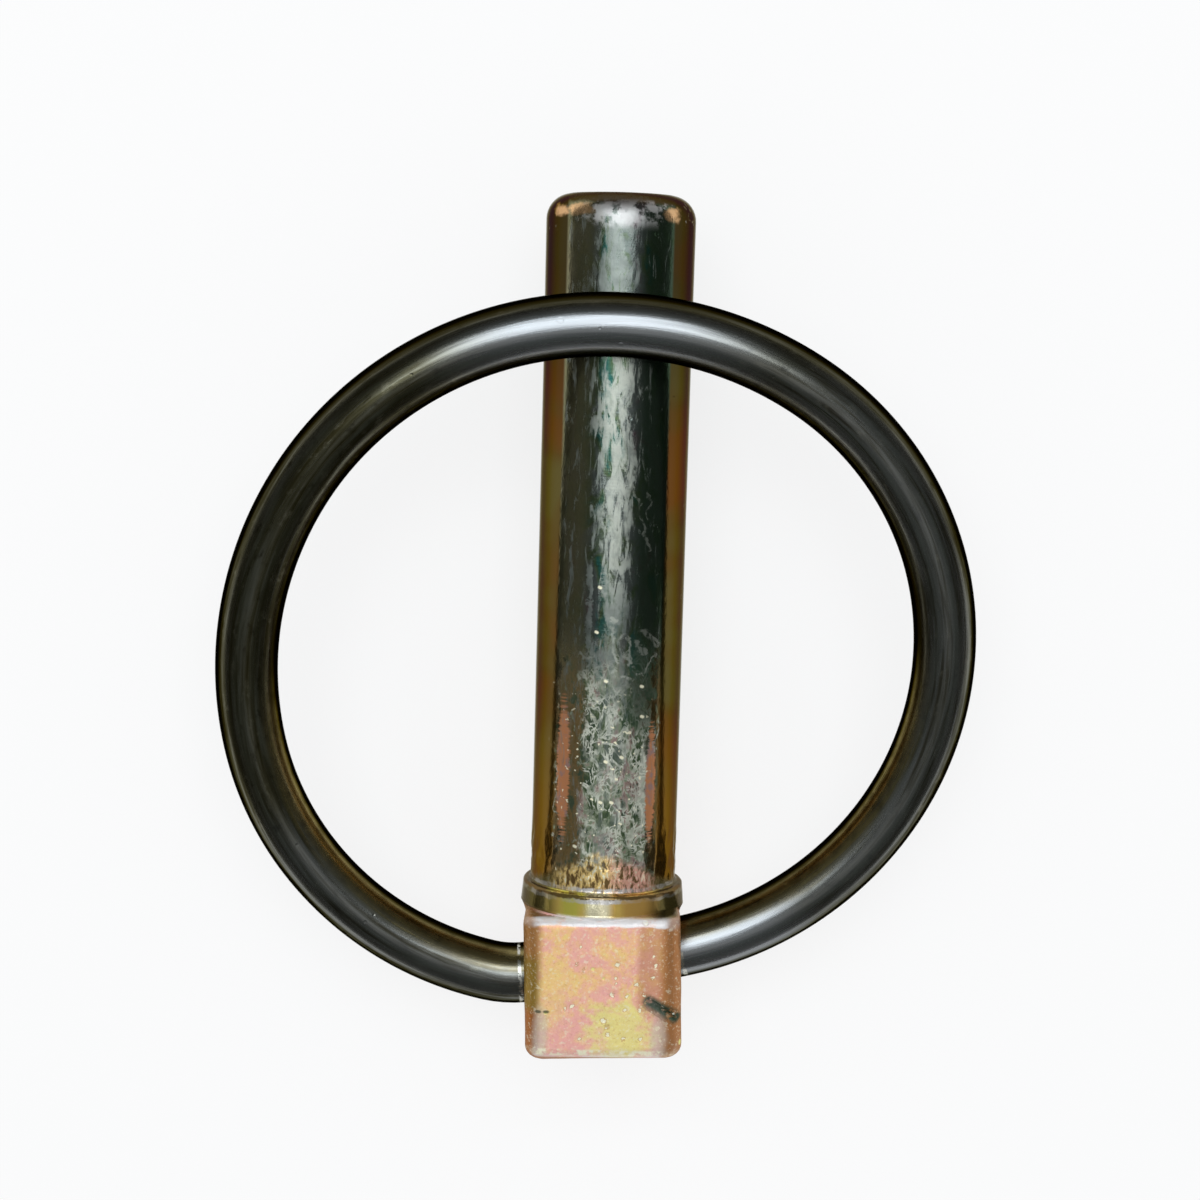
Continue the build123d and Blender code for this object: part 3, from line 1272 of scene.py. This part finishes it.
    def film_colour(self, place: Signal) -> tuple[Signal, Signal, Signal]:
        """Mixes the unrubbed film: green above, earth and worn skin low down, and painted shade in ochre, red
        brown, amber and near black on the flanks.

        Args:
            place: the coordinates, in millimetres.

        Returns:
            The colour, a mask of the lower shank, and one of its middle.
        """
        film = self.film
        across, height, _ = place.parts()
        cloud = place.noise(0.42, 5.0, 0.62, stretch=(1.0, 0.5, 1.0), twist=0.6, shift=(2.0, 5.0, 1.0))
        tint = cloud.ramp([
            (0.3, film.black_green), (0.4, film.teal), (0.47, film.moss), (0.54, film.slate), (0.6, film.slate),
            (0.68, film.plum), (0.78, film.moss),
        ])
        side = across + (cloud - 0.5) * 0.8
        tint = tint.mix(side.span(-1.2, -2.6) * 0.75, film.olive)
        tint = tint.mix(side.span(1.3, 2.4) * height.span(2.0, 14.0) * 0.8, film.black_green)
        rag = self.rag(place)
        ragged = across + (rag - 0.5) * 3.0
        earth = rag.ramp([(0.36, film.black_green), (0.48, film.umber), (0.6, film.ochre), (0.68, film.sage)])
        skin = self.skin_colour(place).mix(ragged.span(-1.5, -2.1), earth)
        skin = skin.mix(ragged.span(1.0, 1.6) * height.span(10.5, 13.5, 0.0, 0.85), film.black_green)
        low = (height + cloud * 5.0).span(23.5, 15.5)
        centre = abs(ragged + 0.2).span(3.7, 3.2)
        tint = tint.mix(low * 0.85, earth.mix(centre, skin))
        # Painted shade: the flanks are darkened by how far they lie from the middle, ochre and red brown, amber
        # low down and near black high up.
        broad = place.noise(0.16, 2.0, 0.5, stretch=(0.6, 1.0, 0.6), shift=(8.0, 3.0, 2.0))
        painted_flank_shade = broad.ramp([(0.38, film.painted_flank_red), (0.5, film.ochre), (0.62, film.painted_side_shade)])
        painted_flank_shade = painted_flank_shade.mix(height.span(16.0, 4.0, 0.0, 0.8), film.painted_flank_amber)
        painted_flank_shade = painted_flank_shade.mix(height.span(30.0, 46.0, 0.0, 0.8), film.painted_flank_dark)
        return tint.mix(abs(across).span(*self.painted_flank_start), painted_flank_shade), low, centre

    def rubbed_band(self, place: Signal, low: Signal, crumbs: Signal) -> tuple[Signal, Signal]:
        """Marks the streaks that the ring rubbed along the front, densest in a wandering stripe that follows the
        highlight down the front, so the streaks there are partly a painted highlight.

        Args:
            place: the coordinates, in millimetres.
            low: 1 on the lower shank, where less is rubbed.
            crumbs: the fine noise that breaks the streaks up.

        Returns:
            The streaks, and the stripe that they crowd in, where the highlight runs.
        """
        across, height, depth = place.parts()
        streaks = place.noise(1.0, 5.0, 0.66, stretch=(2.1, 0.42, 2.1), twist=0.7, shift=(1.0, 2.0, 6.0))
        drift = place.noise(0.12, 1.0, 0.5, stretch=(0.0, 1.0, 0.0)) * 2.4
        # Painted highlight: this stripe follows the highlight down the front, and the rubbed streaks crowd in it.
        highlight_band = (abs(across - drift + 0.95) / height.span(18.0, 34.0, 1.5, 2.6)).span(1.0, 0.08)
        crowd = streaks + highlight_band * 0.19 + across.span(0.8, -1.6, 0.0, 0.06)
        rubbed = crowd.span(0.57, 0.74) * depth.span(*self.front_start) * place.shader.lerp(low, 1.0, 0.55)
        rubbed = rubbed * abs(across).span(4.0, 3.4) * crumbs.span(0.36, 0.56, 0.45, 1.0)
        left = place.strip((-1.6, 21.5), (0.42, 6.0)) * crumbs.span(0.42, 0.54, 0.0, 0.8)
        return rubbed | left, highlight_band

    def scratches(self, place: Signal) -> Signal:
        """Draws the scuffs as broken, wavering strokes.

        Args:
            place: the coordinates, in millimetres.

        Returns:
            Their mask.
        """
        waver = place.noise(0.9, 3.0, 0.6, shift=(5.0, 9.0, 4.0)) - 0.5
        place = place.shader.vector("ADD", place, place.shader.vector("MULTIPLY", waver, (2.2, -1.6, 0.0)))
        strokes = [
            ScuffStroke.on(place, start, end, scuff.width) * scuff.strength
            for scuff in self.scuffs for start, end in zip(scuff.points, scuff.points[1:])
        ]
        return reduce(or_, strokes)

    def skin_colour(self, place: Signal) -> Signal:
        """Colours the worn skin low on the shank: a pale net over bottle green, sage and blush.

        Args:
            place: the coordinates, in millimetres.

        Returns:
            The colour.
        """
        film = self.film
        ground = place.noise(0.8, 4.0, 0.62, stretch=(1.0, 0.6, 1.0), twist=0.4, shift=(4.0, 2.0, 9.0))
        tint = ground.ramp([
            (0.36, film.black_green), (0.44, film.moss), (0.51, film.sage), (0.58, film.blush),
            (0.66, film.black_green),
        ])
        waves = [
            place.noise(scale, 3.0, 0.6, stretch=(1.0, 0.6, 1.0), twist=0.8, shift=shift)
            for scale, shift in ((1.25, (2.0, 7.0, 5.0)), (0.8, (9.0, 1.0, 3.0)))
        ]
        net = reduce(or_, [abs(wave - 0.5).span(0.05, 0.005) for wave in waves])
        broken = place.noise(0.7, 2.0, 0.6, shift=(1.0, 6.0, 2.0)).span(0.36, 0.6, 0.2, 0.95)
        return tint.mix(net * broken, film.chalk)

    @staticmethod
    def foot_mask(place: Signal) -> Signal:
        """Marks the forged skin at the shank's foot, which ends in a ragged line and fades at the sides.

        Args:
            place: the coordinates, in millimetres.

        Returns:
            The mask.
        """
        across, height, _ = place.parts()
        mask = (height + place.noise(0.9, 4.0, 0.6) * 3.0).span(4.6, 3.3)
        return mask * (abs(across) + height * 1.6).span(6.4, 5.2)

    def foot_colour(self, place: Signal) -> Signal:
        """Colours the foot: gold to the left, rose to the right, with painted shade in umber between the flecks
        and painted glints on them, painted shade at the sides and a painted highlight on the lip.

        Args:
            place: the coordinates, in millimetres.

        Returns:
            The colour.
        """
        film, shader = self.film, place.shader
        across, height, _ = place.parts()
        turn = across + place.noise(1.4, 3.0, 0.6) * 3.0
        light = shader.mix(turn.span(1.2, 3.2), film.gold, film.salmon)
        flecks = self.flecks(place)
        # Painted shade in umber between the flecks, and painted glints on their tops.
        tint = shader.mix(flecks.span(0.4, 0.56), film.umber, light).mix(flecks.span(0.57, 0.66), film.painted_glint)
        # Painted shade at the sides of the round foot.
        tint = tint.mix(abs(across).span(2.6, 4.4), film.painted_side_shade)
        sag = height + place.noise(1.1, 3.0, 0.6) * 0.5
        gaps = place.noise(1.7, 2.0, 0.6, shift=(6.0, 6.0, 1.0)).span(0.36, 0.52, 0.25, 0.9)
        # Painted highlight: a bare metal line along the shoulder lip, strongest a little left of the middle.
        lip = sag.span(0.3, 0.42) * sag.span(0.74, 0.58) * gaps * self.middle(across, 0.3)
        return tint.mix(lip, film.bare_and_highlight)

    @staticmethod
    def middle(across: Signal, least: float) -> Signal:
        """Gives 1 a little left of the middle of the collar, and less at its sides."""
        return abs(across + 0.2).span(3.0, 0.7, least, 1.0)

    def collar_colour(self, place: Signal) -> Signal:
        """Colours the smooth collar: lemon and gold in front, with a painted highlight a little left of the
        middle, painted shade at the sides, a painted dark line under the ridge and a painted highlight along the
        folded lip on top.

        Args:
            place: the coordinates, in millimetres.

        Returns:
            The colour.
        """
        film = self.film
        across, height, _ = place.parts()
        hue = place.noise(0.5, 2.0, 0.5, stretch=(1.0, 0.2, 1.0)) + across.span(-2.0, 2.0, -0.1, 0.1)
        tint = hue.ramp([(0.38, film.citron), (0.5, film.deep_gold), (0.64, film.bronze)])
        # Painted highlight: pale gold a little left of the middle, where the collar mirrors the light.
        tint = tint.mix(abs(across + 0.3).span(1.3, 0.5, 0.0, 0.85), film.painted_glint)
        # Painted shade at the sides of the collar.
        tint = tint.mix(abs(across).span(3.0, 4.5), film.painted_side_shade)
        sag = height + place.noise(0.55, 5.0, 0.72) * 0.9
        # Painted shade: a dark umber line just under the shoulder ridge.
        tint = tint.mix(sag.span(0.1, 0.22) * sag.span(0.5, 0.38) * 0.9, film.umber)
        gaps = place.noise(1.3, 2.0, 0.6, shift=(2.0, 8.0, 1.0)).span(0.36, 0.52, 0.25, 0.9)
        # Painted highlight: a bare metal line along the lip, strongest near the middle.
        rim = sag.span(-0.16, -0.06) * sag.span(0.24, 0.12) * gaps * self.middle(across, 0.2)
        return tint.mix(rim, film.bare_and_highlight)

    def head_colour(self, place: Signal, pits: Signal, mottle: Signal) -> Signal:
        """Colours the head: salmon and rose with orange patches and lemon low on the right, with painted shade on
        the right, the rounded corners, the nick, the top crease and the bottom edge, and painted glints and
        highlights on the grain, the dents, the top edge and the bottom row.

        Args:
            place: the coordinates, in millimetres.
            pits: where the small pits are.
            mottle: the cloudy noise of handling.

        Returns:
            The colour.
        """
        film, shader = self.film, place.shader
        across, height, depth = place.parts()
        wear, dents = shader.attribute("edge_wear"), shader.attribute("dents")
        fine = place.noise(1.6, 4.0, 0.66, shift=(5.0, 2.0, 8.0))
        hue = place.noise(0.34, 4.0, 0.6, twist=0.5, shift=(3.0, 1.0, 2.0)) + (fine - 0.5) * 0.5
        tint = hue.ramp([
            (0.28, film.gold), (0.41, film.orange), (0.52, film.salmon), (0.66, film.rose), (0.78, film.orange),
        ])
        wobble = (hue - 0.5) * 3.0
        # Painted shade: copper towards the right of the lower face.
        tint = tint.mix(across.span(2.5, 3.1) * height.span(-10.0, -8.0, 0.1, 0.55), film.copper)
        tint = tint.mix(place.spot((1.5, -10.2), (2.9, 2.1), 0.9, wobble) * 0.9, film.lemon)
        tint = tint.mix(place.spot((-3.4, -7.6), (1.4, 2.6), 1.2, wobble) * 0.5, film.gold)
        # Painted shade: darker gold, russet and copper on the rounded upright corners.
        corner = shader.mix(height.span(-8.3, -9.3), film.old_gold, film.russet)
        corner = corner.mix(height.span(-5.4, -4.2, 0.0, 0.75), film.copper)
        corner = corner.mix(across.span(-1.0, 1.0), film.copper)
        tint = tint.mix(abs(across).span(4.1, 4.9), corner)
        for worn_at, reach in self.worn_corners:
            tint = tint.mix(place.spot(worn_at, reach, 0.9, wobble * 0.35) * 0.6, film.ash)

        specks = place.noise(2.4, 2.0, 0.5, shift=(1.0, 8.0, 3.0)).span(0.62, 0.7)
        grain = place.noise(5.0, 2.0, 0.6)
        fray = dents + place.noise(4.5, 2.0, 0.6)
        nick = ScuffStroke.on(place, *self.nick, self.nick_width)
        nick = nick * place.noise(1.9, 3.0, 0.6).span(0.36, 0.5, 0.35, 1.0)
        coats = (
            # Painted glints on the grain, the specks and the middles of the dents, and painted shade in copper
            # around the dents.
            (grain.span(0.56, 0.7, 0.0, 0.35), film.painted_glint), (grain.span(0.42, 0.3, 0.0, 0.25), film.copper),
            (specks * 0.4, film.painted_glint), (fray.span(0.76, 0.88, 0.0, 0.5), film.copper),
            (fray.span(0.92, 1.04), film.painted_glint), (pits, film.lemon),
            # Painted shade: dark green in the gouge of the nick, flecked with pale specks.
            (nick, shader.mix(specks, film.black_green, film.chalk)),
            *((place.spot(flaw, self.flaw_reach, 0.8) * 0.8, film.black_green) for flaw in self.dark_flaws),
            # Painted shade: umber in the crease where the head's top meets the collar.
            (wear.span(0.3, 0.05) * height.span(-1.95, -1.75), film.umber),
        )
        for mask, coat in coats:
            tint = tint.mix(mask, coat)

        rub = wear * mottle.span(0.25, 0.6) * height.span(-10.3, -11.6, 0.12, 0.8)
        rub = rub * abs(across).span(5.1, 4.5, 0.15, 1.0)
        waver = place.noise(0.9, 4.0, 0.65, stretch=(0.7, 1.5, 1.0), shift=(7.0, 4.0, 2.0))
        droop = height + (waver - 0.5) * 0.5
        # Painted highlight: bare metal along the head's top front edge; the rub near the bottom edges is real
        # wear.
        rim = wear.span(0.1, 0.45) * height.span(-2.6, -2.2)
        fold_highlight = (rim | depth.span(5.1, 5.4) * droop.span(-2.34, -2.16)) * depth.span(4.6, 5.2, 0.35, 1.0)
        fold_highlight = fold_highlight * waver.span(0.34, 0.52, 0.55, 1.0) * abs(across).span(5.3, 4.6, 0.3, 1.0)
        tint = tint.mix(rub | fold_highlight, film.bare_and_highlight)
        # Painted highlight: pale gold flecks in a row along the bottom edge.
        row = height.span(-11.5, -11.75) * height.span(-12.25, -12.0) * abs(across).span(5.0, 4.6, 0.2, 1.0)
        tint = tint.mix(row * place.noise(1.9, 2.0, 0.6, shift=(2.0, 2.0, 6.0)).span(0.4, 0.62), film.painted_glint)
        # Painted shade: russet along the bottom edge.
        return tint.mix(height.span(-12.2, -12.4) * 0.85, film.russet)


@dataclass(frozen=True)
class DarkSpringWire:
    """Dark drawn spring wire with streaks along it, slightly oily and worn, with painted highlights on its front,
    painted shade on its sides and back, and a painted warm glow inside the lower legs.

    A place on it is given on the straight wire: how far along, how far to the ring's outside or inside, and how
    far to its front or back, in millimetres.
    """

    name: str = "dark_spring_wire"
    drawn: tuple[tuple[float, Colour], ...] = (
        (0.32, colour(0.042, 0.037, 0.016)), (0.50, colour(0.088, 0.084, 0.052)), (0.70, colour(0.19, 0.19, 0.15)),
    )
    pale_cloud: Colour = colour(0.24, 0.23, 0.17)
    dark_cloud: Colour = colour(0.030, 0.026, 0.012)
    # Painted shade on the wire's sides and back.
    painted_flank_shade: Colour = colour(0.030, 0.026, 0.013)
    # Painted warm glow inside the lower legs.
    painted_inner_glow: Colour = colour(0.34, 0.28, 0.12)
    # Painted highlight colour.
    painted_highlight: Colour = colour(0.34, 0.36, 0.38)
    # Scraped metal at the mouths, also a painted highlight.
    scraped_and_highlight: Colour = colour(0.6, 0.6, 0.55)
    tinge: Colour = colour(0.12, 0.11, 0.07)
    mouth_runs: Pair = (5.0, 152.7)
    grain_depth: float = 0.00005

    def build(self) -> Material:
        """Builds the material.

        Returns:
            The new material.
        """
        material, shader = new_material(self.name)
        place = shader.attribute("straight", "Vector")
        pits, _ = HandlingMarks.use(shader, place)
        run, side, through = place.parts()
        streaks = place.noise(1.0, 3.0, 0.6, stretch=(0.12, 2.4, 2.4), twist=0.2)
        cloud = place.noise(1.2, 5.0, 0.7, stretch=(0.55, 1.0, 1.0), shift=(4.0, 1.0, 7.0))
        tint = streaks.ramp(self.drawn).mix(cloud.span(0.55, 0.72, 0.0, 0.55), self.pale_cloud)
        tint = tint.mix(cloud.span(0.45, 0.3, 0.0, 0.7), self.dark_cloud)
        # Painted shade on the wire's sides and back.
        tint = shader.mix(through.span(1.0, 1.8), self.painted_flank_shade, tint)
        low_legs = run.span(42.0, 28.0) | run.span(118.0, 128.0)
        # Painted light: a warm glow on the inner side of the lower legs.
        inside = side.span(0.85, 1.45) * side.span(2.27, 2.1) * low_legs * cloud.span(0.3, 0.6, 0.4, 0.9)
        # Painted highlight: a pale polish on the front of the crown, the lower right and two legs, where the
        # highlight falls.
        crown = run.span(66.0, 76.0) * run.span(98.0, 82.0) | run.span(138.0, 147.0)
        rest = (run.span(88.0, 100.0) | run.span(31.0, 24.0)) * streaks.span(0.3, 0.6, 0.1, 0.5)
        polish = (crown | rest) * through.span(1.45, 2.1)
        # Scrapes where the wire leaves the head, which also stand for a painted highlight there.
        mouths = reduce(or_, [abs(run - mouth).span(0.2, 0.1) for mouth in self.mouth_runs])
        scrapes_and_highlight = mouths * place.noise(2.3, 2.0, 0.6).span(0.42, 0.56)
        for mask, coat in ((inside, self.painted_inner_glow), (polish * 0.9, self.painted_highlight), (scrapes_and_highlight, self.scraped_and_highlight)):
            tint = tint.mix(mask, coat)
        relief = {"Strength": 0.25, "Distance": self.grain_depth, "Height": streaks - pits}
        bump = shader.add("ShaderNodeBump", relief)
        surface = shader.add("ShaderNodeBsdfPrincipled", {
            "Base Color": tint, "Metallic": 1.0, "Specular Tint": self.tinge,
            "Roughness": streaks.span(0.3, 0.7, 0.3, 0.22), "Normal": bump.outputs[0],
        })
        shader.add("ShaderNodeOutputMaterial", {0: surface.outputs[0]})
        return material


@dataclass
class Studio:
    """The camera, the soft light, the pale floor and the grey dome with its card around the object."""

    target: Triple = (-0.7954, 21.3346, 0.0)
    distance: float = 173.386
    rise: float = math.radians(6.8)
    roll: float = 0.02772731
    lens: float = 69.0
    sensor: float = 36.0
    clip: Pair = (0.005, 20.0)
    floor_height: float = -10.5
    floor_size: float = 1500.0
    floor_colour: Colour = colour(0.95, 0.95, 0.95)
    floor_glow: float = 0.76
    box_target: Triple = (0.0, 18.0, 0.0)
    box_lean: float = math.radians(17.0)
    box_side: float = math.radians(-2.0)
    box_distance: float = 450.0
    box_size: Pair = (330.0, 275.0)
    box_power: float = 0.9
    box_colour: Triple = (0.93, 0.97, 1.0)
    dome_radius: float = 700.0
    dome_low: float = math.radians(84.0)
    dome_high: float = math.radians(4.0)
    dome_rings: int = 20
    dome_sides: int = 48
    dome_greys: tuple[tuple[float, Colour], ...] = (
        (0.10, colour(0.07, 0.07, 0.065)), (0.45, colour(0.08, 0.08, 0.075)), (0.75, colour(0.10, 0.11, 0.10)),
        (0.93, colour(0.15, 0.155, 0.155)),
    )
    card_centre: Pair = (90.0, -170.0)
    card_reach: Pair = (150.0, 120.0)
    card_softness: float = 0.9
    card_colour: Colour = colour(0.45, 0.45, 0.44)
    air_colour: Colour = colour(0.97, 0.98, 1.0)
    air_strength: float = 0.6

    def camera(self) -> None:
        """Places the camera as the photograph's was."""
        back = Vector((0.0, math.sin(self.rise), math.cos(self.rise)))
        level = Vector((0.0, math.cos(self.rise), -math.sin(self.rise)))
        right = Vector((1, 0, 0)) * math.cos(self.roll) + level * math.sin(self.roll)
        up = level * math.cos(self.roll) - Vector((1, 0, 0)) * math.sin(self.roll)
        data = bpy.data.cameras.new("camera")
        data.lens = self.lens
        data.sensor_width = self.sensor
        data.clip_start, data.clip_end = self.clip
        camera = add_object("camera", data)
        place = (Vector(self.target) + back * self.distance) * MM
        camera.matrix_world = Matrix.Translation(place) @ Matrix((right, up, back)).transposed().to_4x4()
        bpy.context.scene.camera = camera

    def soft_box(self) -> None:
        """Hangs one soft light above the object, a little towards the tip."""
        way = Vector((math.sin(self.box_side), math.sin(self.box_lean), math.cos(self.box_lean))).normalized()
        data = bpy.data.lights.new("soft_box", "AREA")
        data.shape = "RECTANGLE"
        data.size, data.size_y = (side * MM for side in self.box_size)
        data.energy = self.box_power
        data.color = self.box_colour
        place = (Vector(self.box_target) + way * self.box_distance) * MM
        turn = way.to_track_quat("Z", "Y").to_matrix().to_4x4()
        add_object("soft_box", data).matrix_world = Matrix.Translation(place) @ turn

    @staticmethod
    def staged(bm: bmesh.types.BMesh, name: str, material: Material) -> Object:
        """Makes an object that belongs to the studio and not to the part.

        Args:
            bm: its shape, which is freed.
            name: its name.
            material: its material.

        Returns:
            The object.
        """
        item = MeshTools.stored(bm, name)
        item.data.materials.append(material)
        return item

    def floor(self) -> None:
        """Lays a pale floor under the object. It glows where it is seen, and only catches light otherwise."""
        bm = bmesh.new()
        place = Matrix.Translation((0, 0, self.floor_height * MM))
        bmesh.ops.create_grid(bm, x_segments=1, y_segments=1, size=self.floor_size * MM, matrix=place)
        material, shader = new_material("pale_floor")
        paper = shader.add("ShaderNodeBsdfDiffuse", {"Color": self.floor_colour})
        white = shader.add("ShaderNodeEmission", {"Strength": 1.0})
        self.show(shader, "ShaderNodeOutputMaterial", self.seen_directly(shader) * self.floor_glow, paper, white)
        self.staged(bm, "floor", material)

    @staticmethod
    def seen_directly(shader: Shader) -> Signal:
        """Gives 1 for camera, glossy and transmission rays, and 0 for the light that falls on things."""
        path = shader.add("ShaderNodeLightPath").outputs
        rays = ("Camera", "Glossy", "Transmission")
        return reduce(or_, [Signal(shader, path[f"Is {ray} Ray"]) for ray in rays])

    @staticmethod
    def show(shader: Shader, output: str, factor: Signal, first: Node, second: Node) -> None:
        """Mixes two shaders and shows the result."""
        both = shader.add("ShaderNodeMixShader", {0: factor, 1: first.outputs[0], 2: second.outputs[0]})
        shader.add(output, {0: both.outputs[0]})

    def dome(self) -> None:
        """Stands a grey dome around the table, dark low down and with one pale card, for the pin to mirror."""
        bm = bmesh.new()
        start = Vector((math.sin(self.dome_low), 0.0, math.cos(self.dome_low))) * self.dome_radius * MM
        bmesh.ops.spin(
            bm, geom=[bm.verts.new(start)], cent=(0, 0, 0), axis=(0, 1, 0), dvec=(0, 0, 0),
            angle=self.dome_high - self.dome_low, steps=self.dome_rings, use_duplicate=False,
        )
        MeshTools.spin_round(bm, (0, 0, 1), self.dome_sides)
        material, shader = new_material("grey_dome")
        place = shader.millimetres()
        grey = (place.parts()[2] / self.dome_radius).ramp(self.dome_greys)
        card = place.spot(self.card_centre, self.card_reach, self.card_softness)
        glow = shader.add("ShaderNodeEmission", {"Color": grey.mix(card, self.card_colour)})
        shader.add("ShaderNodeOutputMaterial", {0: glow.outputs[0]})
        dome = self.staged(bm, "dome", material)
        for rays in ("camera", "diffuse", "shadow", "transmission"):
            setattr(dome, f"visible_{rays}", False)

    def world(self) -> None:
        """Sets a plain world, white where it is seen and dimmer as a light."""
        world = bpy.data.worlds.new("studio")
        bpy.context.scene.world = world
        world.use_nodes = True
        shader = Shader(world.node_tree)
        dim = shader.add("ShaderNodeBackground", {"Color": self.air_colour, "Strength": self.air_strength})
        white = shader.add("ShaderNodeBackground", {"Color": colour(1.0, 1.0, 1.0)})
        self.show(shader, "ShaderNodeOutputWorld", self.seen_directly(shader), dim, white)

    def build(self) -> None:
        """Sets up everything around the object."""
        bpy.context.scene.view_settings.view_transform = "Standard"
        for step in (self.camera, self.soft_box, self.floor, self.dome, self.world):
            step()
            LOG.info("studio: %s is in place", step.__name__)


def finish_piece(piece: Object, material: Material, body: Body, node: str, slot: Slot) -> None:
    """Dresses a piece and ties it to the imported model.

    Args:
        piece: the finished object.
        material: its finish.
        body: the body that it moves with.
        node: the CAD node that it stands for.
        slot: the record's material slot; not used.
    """
    piece.data.materials.clear()
    piece.data.materials.append(material)
    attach(piece, body.value)
    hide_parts(node)
    piece.data.calc_loop_triangles()
    LOG.info("%s: %d points, %d triangles", piece.name, len(piece.data.vertices), len(piece.data.loop_triangles))


def main() -> None:
    """Builds the pin, the ring and the studio."""
    logging.basicConfig(level=logging.INFO, format="%(name)s: %(message)s")
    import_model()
    finish_piece(PlatedPin().build(), YellowPlating().build(), Body.PIN, "pin_body", Slot.PLATED_STEEL)
    finish_piece(SpringRing().build(), DarkSpringWire().build(), Body.RING, "spring_ring", Slot.SPRING_WIRE)
    Studio().build()


if __name__ == "__main__":
    main()
